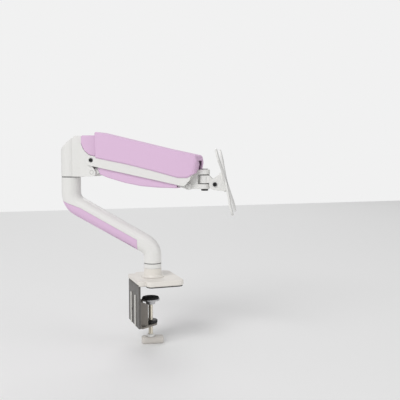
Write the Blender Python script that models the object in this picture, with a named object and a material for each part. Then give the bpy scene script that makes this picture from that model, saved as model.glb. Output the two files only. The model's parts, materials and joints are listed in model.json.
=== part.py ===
"""Monitor arm with a desk clamp: gas-spring parallelogram arm on two swivels.

Sizes are in millimetres and become metres where a mesh or a frame is made.
The origin is on the desk top, under the post's axis. +Z is up and +X points in
over the desk, so the clamp's wall stands on the -X side of the desk's edge.
"""
from math import atan2, cos, degrees, hypot, pi, radians, sin, tan

import bmesh
import bpy
from mathutils import Matrix, Vector
from mathutils.geometry import convex_hull_2d

MM = 0.001
GAP = 0.3            # between pieces that touch
RUN = 0.35           # radial running gap of a pin in its hole
SMOOTH_ANGLE = 35.0  # degrees
BEND_STEPS = 6       # straight pieces in each bend of the lower arm

# desk clamp
DESK_THICKNESS = 26.7
PAD_THICKNESS = 1.6
SHEET = 3.5                      # clamp steel
WALL_X = -37.0                   # outer face of the wall
WALL_HALF_WIDTH = 39.0
WALL_BOTTOM = -75.7
LEG_END_X = 42.0
RAIL_Y = 15.5
RAIL_WIDTH = 5.0
RAIL_PROUD = 1.5
RAIL_TOP = -17.0
JAW_HALF_WIDTH = 28.0
GUSSET_Y = 19.0
GUSSET_REACH = 15.0
JAW_TOP = -29.0
JAW_FLOOR = -76.0                # top face of the jaw's flange
JAW_NOSE_RADIUS = 12.5
JAW_BOLT_Y = 11.0
JAW_BOLT_Z = -50.0
JAW_BOLT_RADIUS = 3.0
SCREW_X = -4.5
SCREW_RADIUS = 4.2
BUSH_RADIUS = 13.0
BUSH_HEIGHT = 5.4
FOOT_RADIUS = 17.0
FOOT_PAD = 3.0
FOOT_DISC = 3.0
FOOT_BOSS = 7.0
COLLAR_TOP = -97.0
COLLAR_HEIGHT = 5.0
HANDLE_REACH = 24.0
HANDLE_TAIL = 17.0
HANDLE_WIDTH = 18.0
HANDLE_HEIGHT = 12.5
HANDLE_TURN = -11.0

# base and post
COVER_TOP = 12.0
COVER_FRONT_X = 47.0
COVER_REAR_X = -24.0
COVER_HALF_WIDTH = 53.0
TAB_HALF_WIDTH = WALL_HALF_WIDTH + 2.0
TAB_X = WALL_X - 1.5
POST_RADIUS = 16.5
FOOT_FLARE = 4.5
SHAFT_RADIUS = 10.0
SHAFT_TOP = 60.0
POST_SEAM = 29.0                 # foot collar to stop ring
ARM_SEAM = 38.0                  # stop ring to lower arm
WASHER = 0.9
POST_BOLT_RADIUS = 4.0
POST_BOLT_HEAD = 6.5

# lower arm
BASE_AZIMUTH = 153.3
LOWER_LENGTH = 156.0
LOWER_SLOPE = 28.5
COLUMN_RADIUS = 18.0
POST_BEND = 26.0
POST_BEND_START = 51.2
COLUMN_BEND = 30.0
SPLIT_RISE = 2.0                 # cable cover's joint, above the centreline
CABLE_COVER_START = 26.0
CABLE_COVER_SKIN = 2.8
CABLE_SLOT_HALF = 12.0
COLUMN_RISE = 47.63              # elbow seam over the corner of the arm's centreline
PIN_FOOT = 5.0                   # elbow pin's foot, over that corner
PIN_RADIUS = 8.0                 # elbow pin
BUSH_WALL = 1.7
ARM_START_X = POST_BEND * (1 - sin(radians(LOWER_SLOPE)))       # where the slope begins
ARM_START_Z = POST_BEND_START + POST_BEND * cos(radians(LOWER_SLOPE))
CORNER_Z = ARM_START_Z + tan(radians(LOWER_SLOPE)) * (LOWER_LENGTH - ARM_START_X)
ELBOW_SEAM = CORNER_Z + COLUMN_RISE

# hub, its heights drawn from a seam at HUB_DATUM
UPPER_AZIMUTH = -33.7
HUB_DATUM = 199.0
HUB_TOP = 276.0
HUB_CHAMFER_BACK = 248.5         # height of the slanted top at the rear
HUB_CHAMFER_X = 15.0
HUB_PIN_TOP = HUB_CHAMFER_BACK - 12.0
NECK_HALF_WIDTH = 15.0
CHEEK_X = 30.0
CHEEK_OUTER = 20.9
CHEEK_INNER = 16.0
LIFT_X = 51.2                    # both rear pivots, from the elbow's axis
LIFT_Z = 230.7
PIVOT_SPACING = 22.5             # upper pivots to lower pivots, front and rear
LIFT_PIN = 4.0
LIFT_SCREW_HEAD = 3.3
LINK_PIN = 3.5
STRUT_X = 45.0                   # rear end of the gas strut
STRUT_Z = 216.5
STRUT_PIN = 3.0

# upper arm, in its own frame: x along the arm from the rear pivot
UPPER_SLOPE = 12.0
FRONT_PIVOT_X = 182.0
FRONT_PIVOT_Z = 14.0
BEAM_OUTER = 24.3
BEAM_WALL = 3.0
COVER_OUTER = 27.0
COVER_SKIN = 2.3
COVER_NOSE = 9.0                 # plan radius of the long cover's front corners
THROAT_TOP = 41.0                # of the slot that the knuckle's lug moves in
COVER_FRONT = FRONT_PIVOT_X + 17.0
STRUT_FRONT_X = FRONT_PIVOT_X - 25.0
STRUT_FRONT_Z = 20.0
STRUT_ROD = 4.0
STRUT_TUBE = 9.3
STRUT_GLAND = 62.0               # start of the tube, from the rear eye
STRUT_HEAD = 43.93               # end of the tube's bore, from the front eye
STRUT_CLEARANCE = 2.5            # of the open pivot at the front eye
LINK_OUTER = 15.7
LINK_WALL = 3.2
LOWER_COVER_OUTER = 20.6
BELLY_SAG = ((0.3681, -5.0), (0.5385, -4.0), (0.7088, 0.2))    # along the link, and depth

# head
SWIVEL_REACH = 27.9              # front pivot to the swivel's axis
KNUCKLE_RADIUS = 8.8
LUG_RADIUS = 9.3
LUG_CLEARANCE = 1.2
LUG_TOP = 7.5
LUG_GAP_TOP = -1.4
LUG_GAP_BOTTOM = -18.4
LUG_BOTTOM = -27.1
SWIVEL_PIN = 4.0
HEAD_PAN = 7.7
TILT_REACH = 19.5
TILT_DROP = 8.6
TILT_BARREL = 7.5
TILT_BARREL_HALF = 8.0
TILT_BOLT = 2.5
TILT_BOLT_HEAD = 3.7
TILT_REST = 14.5
FORK_RADIUS = 10.4
FORK_WALL = 5.0
FORK_HALF_HEIGHT = 16.0
FLANGE_HALF_WIDTH = 15.0
FLANGE_HALF_HEIGHT = 17.5
FLANGE_START = 12.5
FLANGE_END = 17.6
PLATE_SIZE = 118.0
PLATE_THICKNESS = 3.0
PLATE_CORNER = 10.0
NOTCH_ROOT = (27.0, 9.0)         # reach and radius of a side notch's inner end
NOTCH_MOUTH = (70.0, 40.0)
SCREW_HOLE = 2.25
SPINDLE_RADIUS = 5.0

WHITE = ("white_paint", (0.83, 0.83, 0.81), 0.42, 0.0)
LILAC = ("lilac_cover", (0.72, 0.50, 0.70), 0.45, 0.0)
GREY = ("grey_steel", (0.16, 0.155, 0.15), 0.45, 0.4)
ZINC = ("bright_zinc", (0.66, 0.64, 0.60), 0.3, 1.0)
STEEL = ("bright_steel", (0.55, 0.55, 0.56), 0.28, 1.0)
BLACK = ("black_oxide", (0.03, 0.03, 0.03), 0.5, 0.3)
RUBBER = ("black_rubber", (0.02, 0.02, 0.02), 0.85, 0.0)
NYLON = ("dark_nylon", (0.08, 0.08, 0.08), 0.6, 0.0)
GRIP = ("pale_grip", (0.62, 0.59, 0.55), 0.5, 0.0)


# ---------------------------------------------------------------- objects

def clear_scene():
    """Take every object out of the scene."""
    for item in list(bpy.data.objects):
        bpy.data.objects.remove(item, do_unlink=True)


def frame(name, parent, place, turn_y=0.0, turn_z=0.0):
    """An empty on a joint's axis; pieces that move with it are its children."""
    empty = bpy.data.objects.new(name, None)
    bpy.context.scene.collection.objects.link(empty)
    empty.parent = parent
    empty.location = Vector(place) * MM
    empty.rotation_euler = (0.0, radians(turn_y), radians(turn_z))
    return empty


def material(finish):
    """The Principled material of a finish, made once."""
    name, colour, roughness, metallic = finish
    found = bpy.data.materials.get(name)
    if found:
        return found
    made = bpy.data.materials.new(name)
    made.use_nodes = True
    shader = made.node_tree.nodes["Principled BSDF"]
    shader.inputs["Base Color"].default_value = (*colour, 1.0)
    shader.inputs["Roughness"].default_value = roughness
    shader.inputs["Metallic"].default_value = metallic
    return made


def put(name, shape, parent, finish=None):
    """Make an object of a bmesh drawn in millimetres; no finish makes a cutter."""
    bmesh.ops.remove_doubles(shape, verts=shape.verts, dist=0.001)
    bmesh.ops.recalc_face_normals(shape, faces=shape.faces)
    bmesh.ops.scale(shape, verts=shape.verts, vec=(MM, MM, MM))
    mesh = bpy.data.meshes.new(name)
    shape.to_mesh(mesh)
    shape.free()
    mesh.shade_smooth()
    mesh.set_sharp_from_angle(angle=radians(SMOOTH_ANGLE))
    item = bpy.data.objects.new(name, mesh)
    bpy.context.scene.collection.objects.link(item)
    item.parent = parent
    if finish:
        mesh.materials.append(material(finish))
    else:
        item.hide_render = True
        item.display_type = "WIRE"
    return item


def combine(item, shape, operation):
    """Add, cut or keep a shape on a piece with an exact Boolean."""
    tool = shape
    if isinstance(shape, bmesh.types.BMesh):
        tool = put(item.name + ".tool", shape, item.parent)
    step = item.modifiers.new(operation.lower(), "BOOLEAN")
    step.operation = operation
    step.solver = "EXACT"
    step.object = tool


def cut(item, *shapes):
    """Cut each shape out of a piece."""
    for shape in shapes:
        combine(item, shape, "DIFFERENCE")


def add(item, *shapes):
    """Join each shape to a piece."""
    for shape in shapes:
        combine(item, shape, "UNION")


def keep(item, shape):
    """Keep only the part of a piece that is inside a shape."""
    combine(item, shape, "INTERSECT")


# ---------------------------------------------------------------- shapes

def rounded(points, steps=3):
    """An outline whose corners (x, z, radius) are arcs; no radius keeps a corner."""
    count = len(points)
    outline = []
    for i, point in enumerate(points):
        here = Vector(point[:2])
        radius = point[2] if len(point) > 2 else 0.0
        if radius <= 0.0:
            outline.append((here.x, here.y))
            continue
        back = (Vector(points[i - 1][:2]) - here).normalized()
        ahead = (Vector(points[(i + 1) % count][:2]) - here).normalized()
        half = back.angle(ahead) / 2
        centre = here + (back + ahead).normalized() * radius / sin(half)
        start = here + back * radius / tan(half) - centre
        turn = start.angle_signed(here + ahead * radius / tan(half) - centre)
        for k in range(steps + 1):
            arm = start.copy()
            arm.rotate(Matrix.Rotation(-turn * k / steps, 2))
            outline.append((centre.x + arm.x, centre.y + arm.y))
    return outline


def circle(x, z, radius, steps=24):
    """Points round a circle."""
    return [(x + radius * cos(2 * pi * k / steps), z + radius * sin(2 * pi * k / steps))
            for k in range(steps)]


def hull(*outlines):
    """The convex outline round several outlines."""
    points = [point for outline in outlines for point in outline]
    return [points[i] for i in convex_hull_2d(points)]


def rectangle(x0, x1, z0, z1, radius=0.0, steps=4):
    """A rectangle with round corners."""
    corners = [(x0, z0, radius), (x1, z0, radius), (x1, z1, radius), (x0, z1, radius)]
    return rounded(corners, steps)


def extruded(outline, low, high, along="Y", edge=0.0, edge_steps=1):
    """A prism of an (x, z) outline along Y, or of an (x, y) outline along Z.

    An edge size rounds both rims.
    """
    shape = bmesh.new()
    if along == "Y":
        verts = [shape.verts.new((x, low, z)) for x, z in outline]
        travel = Vector((0.0, high - low, 0.0))
    elif along == "Z":
        verts = [shape.verts.new((x, y, low)) for x, y in outline]
        travel = Vector((0.0, 0.0, high - low))
    else:
        verts = [shape.verts.new((low, y, z)) for y, z in outline]
        travel = Vector((high - low, 0.0, 0.0))
    face = shape.faces.new(verts)
    result = bmesh.ops.extrude_face_region(shape, geom=[face])
    moved = [v for v in result["geom"] if isinstance(v, bmesh.types.BMVert)]
    bmesh.ops.translate(shape, verts=moved, vec=travel)
    bmesh.ops.recalc_face_normals(shape, faces=shape.faces)
    if edge > 0.0:
        axis = {"X": 0, "Y": 1, "Z": 2}[along]
        rims = [e for e in shape.edges if abs(e.verts[0].co[axis] - e.verts[1].co[axis]) < 1e-6]
        bmesh.ops.bevel(shape, geom=rims, offset=edge, segments=edge_steps, profile=0.5,
                        affect="EDGES", offset_type="OFFSET", material=-1)
    return shape


def box(x0, x1, y0, y1, z0, z1):
    """A plain block."""
    return extruded([(x0, y0), (x1, y0), (x1, y1), (x0, y1)], z0, z1, "Z")


def turned(profile, centre=(0.0, 0.0, 0.0), axis="Z", steps=20):
    """A turned piece: a closed profile of (radius, height) points spun about an axis."""
    shape = bmesh.new()
    verts = [shape.verts.new((radius, 0.0, height)) for radius, height in profile]
    edges = [shape.edges.new((verts[i], verts[(i + 1) % len(verts)]))
             for i in range(len(verts))
             if profile[i][0] > 0.0 or profile[(i + 1) % len(verts)][0] > 0.0]
    bmesh.ops.spin(shape, geom=verts + edges, cent=(0, 0, 0), axis=(0, 0, 1), dvec=(0, 0, 0),
                   angle=2 * pi, steps=steps, use_merge=True, use_duplicate=False)
    bmesh.ops.remove_doubles(shape, verts=shape.verts, dist=0.0005)
    if axis == "Y":
        bmesh.ops.rotate(shape, verts=shape.verts, cent=(0, 0, 0),
                         matrix=Matrix.Rotation(-pi / 2, 3, "X"))
    elif axis == "X":
        bmesh.ops.rotate(shape, verts=shape.verts, cent=(0, 0, 0),
                         matrix=Matrix.Rotation(pi / 2, 3, "Y"))
    bmesh.ops.translate(shape, verts=shape.verts, vec=centre)
    return shape


def rod(radius, low, high, centre=(0.0, 0.0, 0.0), axis="Z", steps=16, edge=0.0):
    """A round bar from low to high along an axis, its ends chamfered by edge."""
    profile = [(0.0, low), (radius - edge, low)]
    if edge > 0.0:
        profile.append((radius, low + edge))
        profile.append((radius, high - edge))
    profile += [(radius - edge, high), (0.0, high)]
    if edge == 0.0:
        profile = [(0.0, low), (radius, low), (radius, high), (0.0, high)]
    return turned(profile, centre, axis, steps)


def ring(inner, outer, low, high, centre=(0.0, 0.0, 0.0), axis="Z", steps=20):
    """A flat ring or sleeve."""
    profile = [(inner, low), (outer, low), (outer, high), (inner, high)]
    return turned(profile, centre, axis, steps)


def lofted(path, steps=24):
    """A closed tube through (x, z, slope, radius, squareness) stations."""
    shape = bmesh.new()
    rings = []
    for x, z, slope, radius, squareness in path:
        across = Vector((-sin(slope), 0.0, cos(slope)))
        side = Vector((0.0, 1.0, 0.0))
        power = 2.0 / squareness
        points = []
        for k in range(steps):
            angle = 2 * pi * k / steps
            c, s = cos(angle), sin(angle)
            rise = radius * abs(c) ** power * (1 if c >= 0 else -1)
            reach = radius * abs(s) ** power * (1 if s >= 0 else -1)
            points.append(shape.verts.new(Vector((x, 0.0, z)) + across * rise + side * reach))
        rings.append(points)
    for near, far in zip(rings, rings[1:]):
        for k in range(steps):
            n = (k + 1) % steps
            shape.faces.new((near[k], near[n], far[n], far[k]))
    shape.faces.new(rings[0])
    shape.faces.new(rings[-1])
    return shape


# ---------------------------------------------------------------- desk clamp

def build_clamp(root):
    """The fixed steelwork of the clamp, with its pad, rails, jaw and screw bush."""
    pad = rectangle(COVER_REAR_X + 2, COVER_FRONT_X - 2, 2 - COVER_HALF_WIDTH, COVER_HALF_WIDTH - 2, 9)
    put("desk_pad", extruded(pad, 0.0, PAD_THICKNESS, "Z"), root, RUBBER)

    leg_low = PAD_THICKNESS + GAP
    leg_top = leg_low + SHEET
    inner_x = WALL_X + SHEET
    profile = rounded([(WALL_X, WALL_BOTTOM), (inner_x, WALL_BOTTOM), (inner_x, leg_low),
                       (LEG_END_X, leg_low), (LEG_END_X, leg_top), (WALL_X, leg_top, 5.0)], 4)
    bracket = put("clamp_bracket", extruded(profile, -WALL_HALF_WIDTH, WALL_HALF_WIDTH), root, GREY)
    cut(bracket, rod(POST_BOLT_RADIUS + RUN, leg_low - 1, leg_top + 1),
        rod(POST_BOLT_HEAD + RUN, leg_low - 1, leg_low + 2.4))
    for y in (-JAW_BOLT_Y, JAW_BOLT_Y):
        cut(bracket, rod(JAW_BOLT_RADIUS + RUN, WALL_X - 1, inner_x + 1, (0, y, JAW_BOLT_Z), "X", 16))

    for name, y in (("wall_rail_near", -RAIL_Y), ("wall_rail_far", RAIL_Y)):
        strip = rectangle(y - RAIL_WIDTH / 2, y + RAIL_WIDTH / 2, WALL_BOTTOM, RAIL_TOP, 1.6, 3)
        put(name, extruded(strip, WALL_X - GAP - RAIL_PROUD, WALL_X - GAP, "X"), root, ZINC)

    build_jaw(root, inner_x)

    put("post_bolt", turned([(0, leg_low + 0.1), (POST_BOLT_HEAD, leg_low + 0.1),
                             (POST_BOLT_HEAD, leg_low + 2.1), (POST_BOLT_RADIUS, leg_low + 2.1),
                             (POST_BOLT_RADIUS, 28), (0, 28)], steps=20), root, BLACK)


def build_jaw(root, inner_x):
    """The lower jaw, a bent sheet with side gussets, its bolts and the screw's bush."""
    back = inner_x + GAP
    front = back + SHEET
    under = JAW_FLOOR - SHEET
    nose = SCREW_X + JAW_NOSE_RADIUS
    bend = rounded([(back, JAW_TOP), (back, under, 6.0), (nose, under), (nose, JAW_FLOOR),
                    (front, JAW_FLOOR, 2.6), (front, JAW_TOP)], 4)
    jaw = put("clamp_jaw", extruded(bend, -JAW_HALF_WIDTH, JAW_HALF_WIDTH), root, GREY)
    gusset_x = front + GUSSET_REACH
    gusset = [(front - 1, JAW_TOP - 1), (front + 5, JAW_TOP - 3), (gusset_x, JAW_TOP - 7),
              (gusset_x, JAW_FLOOR - 1), (front - 1, JAW_FLOOR - 1)]
    for side in (-GUSSET_Y, GUSSET_Y):
        add(jaw, extruded(gusset, side - 1.2, side + 1.2))
    plan = hull(circle(SCREW_X, 0, JAW_NOSE_RADIUS, 26),
                [(back - 1, -JAW_HALF_WIDTH - 1), (back - 1, JAW_HALF_WIDTH + 1),
                 (front + 2, -JAW_HALF_WIDTH - 1), (front + 2, JAW_HALF_WIDTH + 1),
                 (gusset_x, -GUSSET_Y - 1.2), (gusset_x, GUSSET_Y + 1.2)])
    keep(jaw, extruded(plan, under - 1, JAW_TOP + 1, "Z"))
    cut(jaw, rod(SCREW_RADIUS + RUN, under - 1, JAW_FLOOR + 1, (SCREW_X, 0, 0)))
    for y in (-JAW_BOLT_Y, JAW_BOLT_Y):
        cut(jaw, rod(JAW_BOLT_RADIUS + RUN, back - 1, front + 1, (0, y, JAW_BOLT_Z), "X", 16))
    for name, y in (("jaw_bolt_near", -JAW_BOLT_Y), ("jaw_bolt_far", JAW_BOLT_Y)):
        shank = rod(JAW_BOLT_RADIUS, WALL_X, front + 3.4, (0, y, JAW_BOLT_Z), "X", 16)
        put(name, shank, root, BLACK)
        nut = turned([(JAW_BOLT_RADIUS + RUN, front + GAP), (5.8, front + GAP), (5.8, front + 4.2),
                      (JAW_BOLT_RADIUS + RUN, front + 4.2)], (0, y, JAW_BOLT_Z), "X", 12)
        put(name.replace("bolt", "nut"), nut, root, BLACK)

    low = JAW_FLOOR + GAP
    bush = turned([(SCREW_RADIUS + RUN, low), (BUSH_RADIUS - 1, low), (BUSH_RADIUS, low + 1),
                   (BUSH_RADIUS, low + BUSH_HEIGHT - 1), (BUSH_RADIUS - 1, low + BUSH_HEIGHT),
                   (SCREW_RADIUS + RUN, low + BUSH_HEIGHT)], (SCREW_X, 0, 0))
    put("screw_bush", bush, root, BLACK)


def build_clamp_foot(root):
    """The pressure foot that the screw pushes up under the desk."""
    foot = frame("clamp_foot_slide", root, (SCREW_X, 0, 0))
    top = -DESK_THICKNESS
    put("foot_pad", turned([(0, top - FOOT_PAD), (FOOT_RADIUS - 1, top - FOOT_PAD),
                            (FOOT_RADIUS - 1, top - 0.8), (FOOT_RADIUS - 1.8, top), (0, top)]),
        foot, RUBBER)
    disc = top - FOOT_PAD - GAP
    rim = disc - FOOT_DISC
    boss = rim - FOOT_BOSS
    bore = SCREW_RADIUS + RUN
    put("foot_plate", turned([(0, disc), (FOOT_RADIUS, disc), (FOOT_RADIUS, rim), (10, rim),
                              (8.5, boss), (bore, boss), (bore, rim - 1.2), (0, rim - 1.2)]),
        foot, STEEL)

    screw = frame("clamp_screw_turn", foot, (0, 0, 0), turn_z=HANDLE_TURN)
    low = COLLAR_TOP - COLLAR_HEIGHT - HANDLE_HEIGHT / 2
    put("clamp_screw", rod(SCREW_RADIUS, low, rim - 1.5, edge=0.6), screw, STEEL)
    put("handle_collar", turned([(bore, COLLAR_TOP - COLLAR_HEIGHT), (7.5, COLLAR_TOP - COLLAR_HEIGHT),
                                 (7.5, COLLAR_TOP - 1.5), (6.0, COLLAR_TOP), (bore, COLLAR_TOP)]),
        screw, WHITE)
    top = COLLAR_TOP - COLLAR_HEIGHT - GAP
    half = HANDLE_WIDTH / 2
    plan = rectangle(-HANDLE_TAIL, HANDLE_REACH, -half, half, 4.0)
    grip = put("clamp_handle", extruded(plan, top - HANDLE_HEIGHT, top, "Z", 1.5), screw, GRIP)
    cut(grip, rod(bore, low - GAP, top + 1))


# ---------------------------------------------------------------- base and post

def build_base(root):
    """The cast base cover, and the post that the arm turns on."""
    low = PAD_THICKNESS + GAP
    outline = rounded([(TAB_X, -TAB_HALF_WIDTH, 5), (COVER_REAR_X, -TAB_HALF_WIDTH),
                       (COVER_REAR_X, -COVER_HALF_WIDTH, 9), (COVER_FRONT_X, -COVER_HALF_WIDTH, 12),
                       (COVER_FRONT_X, COVER_HALF_WIDTH, 12), (COVER_REAR_X, COVER_HALF_WIDTH, 9),
                       (COVER_REAR_X, TAB_HALF_WIDTH), (TAB_X, TAB_HALF_WIDTH, 5)], 4)
    cover = put("base_cover", extruded(outline, low, COVER_TOP, "Z", 1.6), root, WHITE)
    leg_top = low + SHEET
    cut(cover, box(TAB_X - 9, LEG_END_X + GAP, -WALL_HALF_WIDTH - GAP, WALL_HALF_WIDTH + GAP,
                   low - 5, leg_top + GAP),
        rod(SHAFT_RADIUS + RUN, low, COVER_TOP + 1))

    bore = SHAFT_RADIUS + RUN
    shaft = put("post_shaft", rod(SHAFT_RADIUS, leg_top + GAP, SHAFT_TOP, edge=1.0), root, STEEL)
    cut(shaft, rod(POST_BOLT_RADIUS + RUN, leg_top - 1, 30, steps=20))

    foot = COVER_TOP + GAP
    flare = [(POST_RADIUS + FOOT_FLARE * (1 - sin(a)), foot + 0.8 + FOOT_FLARE * (1 - cos(a)))
             for a in (0, pi / 8, pi / 4, 3 * pi / 8, pi / 2)]
    put("foot_collar", turned([(bore, foot), (POST_RADIUS + FOOT_FLARE, foot)] + flare
                              + [(POST_RADIUS, POST_SEAM - GAP), (bore, POST_SEAM - GAP)], steps=28),
        root, WHITE)
    put("stop_ring", ring(bore, POST_RADIUS, POST_SEAM, ARM_SEAM - GAP - WASHER / 2, steps=28),
        root, WHITE)
    put("post_washer", ring(bore, POST_RADIUS - 0.6, ARM_SEAM - WASHER / 2, ARM_SEAM + WASHER / 2,
                            steps=36), root, NYLON)


# ---------------------------------------------------------------- lower arm

def lower_path():
    """Stations of the lower arm: up from the post, along the slope, up to the elbow."""
    slope = radians(LOWER_SLOPE)
    turn = pi / 2 - slope
    stations = [(0.0, ARM_SEAM + WASHER / 2 + GAP, pi / 2, POST_RADIUS, 2.0)]
    for k in range(BEND_STEPS + 1):
        a = turn * k / BEND_STEPS
        stations.append((POST_BEND * (1 - cos(a)), POST_BEND_START + POST_BEND * sin(a),
                         pi / 2 - a, POST_RADIUS + 0.3 * k / BEND_STEPS, 2.0 + 0.6 * k / BEND_STEPS))
    run = COLUMN_BEND * tan(turn / 2)
    x0, z0 = ARM_START_X, ARM_START_Z
    x1 = LOWER_LENGTH - run * cos(slope)
    z1 = CORNER_Z - run * sin(slope)
    for share in (0.33, 0.67):
        stations.append((x0 + (x1 - x0) * share, z0 + (z1 - z0) * share, slope,
                         POST_RADIUS + 0.3 + 1.2 * share, 2.6))
    for k in range(BEND_STEPS + 1):
        a = turn * k / BEND_STEPS
        stations.append((x1 + COLUMN_BEND * (sin(slope + a) - sin(slope)),
                         z1 + COLUMN_BEND * (cos(slope) - cos(slope + a)),
                         slope + a, COLUMN_RADIUS, 2.6 - 0.6 * k / BEND_STEPS))
    stations.append((LOWER_LENGTH, ELBOW_SEAM - GAP - WASHER / 2, pi / 2, COLUMN_RADIUS, 2.0))
    return stations


def cable_cover_region(shrink):
    """The outline under the joint between the lower arm and its cable cover."""
    slope = tan(radians(LOWER_SLOPE))
    start = CABLE_COVER_START + shrink
    drop = shrink * 1.15 - SPLIT_RISE

    def joint(x):
        return ARM_START_Z + slope * (x - ARM_START_X) - drop

    bend = LOWER_LENGTH - 22.0
    end = LOWER_LENGTH + 40.0
    return [(start, 30.0), (start, joint(start)), (bend, joint(bend)),
            (end, joint(bend) + 0.36 * (end - bend)), (end, 30.0)]


def cable_space():
    """The room for cables between the lower arm and the cover under it."""
    slope = radians(LOWER_SLOPE)
    drop = (POST_RADIUS + 0.8 - CABLE_COVER_SKIN) / cos(slope)
    base = ARM_START_Z - ARM_START_X * tan(slope)
    x0 = CABLE_COVER_START + 5
    x1 = LOWER_LENGTH - 14.0
    return [(x0, base + x0 * tan(slope) - drop), (x1, base + x1 * tan(slope) - drop),
            (x1, base + x1 * tan(slope) + 3), (x0, base + x0 * tan(slope) + 3)]


def build_lower_arm(root):
    """The lower arm with its cable cover, post bush, friction screw and elbow pin."""
    arm = frame("base_swivel", root, (0, 0, 0), turn_z=BASE_AZIMUTH)
    body = put("lower_arm", lofted(lower_path()), arm, WHITE)
    cut(body, extruded(cable_cover_region(0.0), -30, 30),
        extruded(cable_space(), -CABLE_SLOT_HALF + 3, CABLE_SLOT_HALF - 3))
    bush_outer = SHAFT_RADIUS + RUN + BUSH_WALL
    cut(body, rod(bush_outer + RUN, ARM_SEAM - 2, SHAFT_TOP + 1.2),
        rod(PIN_RADIUS + RUN, CORNER_Z + PIN_FOOT - 1, ELBOW_SEAM + 2, (LOWER_LENGTH, 0, 0)),
        rod(3.3, -POST_RADIUS - 2, 0, (0, 0, 47), "Y", 16))

    cover = put("cable_cover", lofted(lower_path()), arm, LILAC)
    keep(cover, extruded(cable_cover_region(GAP), -30, 30))
    cut(cover, extruded(cable_space(), -CABLE_SLOT_HALF, CABLE_SLOT_HALF))

    low = ARM_SEAM + WASHER / 2 + GAP
    bush = put("post_bush", ring(SHAFT_RADIUS + RUN, bush_outer, low, SHAFT_TOP), arm, NYLON)
    cut(bush, rod(3.3, -POST_RADIUS - 2, 0, (0, 0, 47), "Y", 16))
    put("friction_screw", rod(3.0, -POST_RADIUS + 0.6, -SHAFT_RADIUS - RUN, (0, 0, 47), "Y", 16),
        arm, BLACK)
    top = ELBOW_SEAM - HUB_DATUM + HUB_PIN_TOP
    put("elbow_pin", rod(PIN_RADIUS, CORNER_Z + PIN_FOOT, top, (LOWER_LENGTH, 0, 0), edge=0.8),
        arm, STEEL)
    put("elbow_washer", ring(PIN_RADIUS + RUN, COLUMN_RADIUS - 0.5, ELBOW_SEAM - WASHER / 2,
                             ELBOW_SEAM + WASHER / 2, (LOWER_LENGTH, 0, 0), steps=28), arm, NYLON)
    return arm


# ---------------------------------------------------------------- hub

def shroud_edge(lift=0.0):
    """The curved joint between the hub's cheeks and the lilac shroud over them."""
    edge = ((CHEEK_X + 0.3, 262.0), (33.0, 254.0), (38.0, 246.8), (45.0, 241.0), (52.0, 238.3),
            (60.5, 237.2))
    return [(x, z + lift) for x, z in edge]


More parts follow.
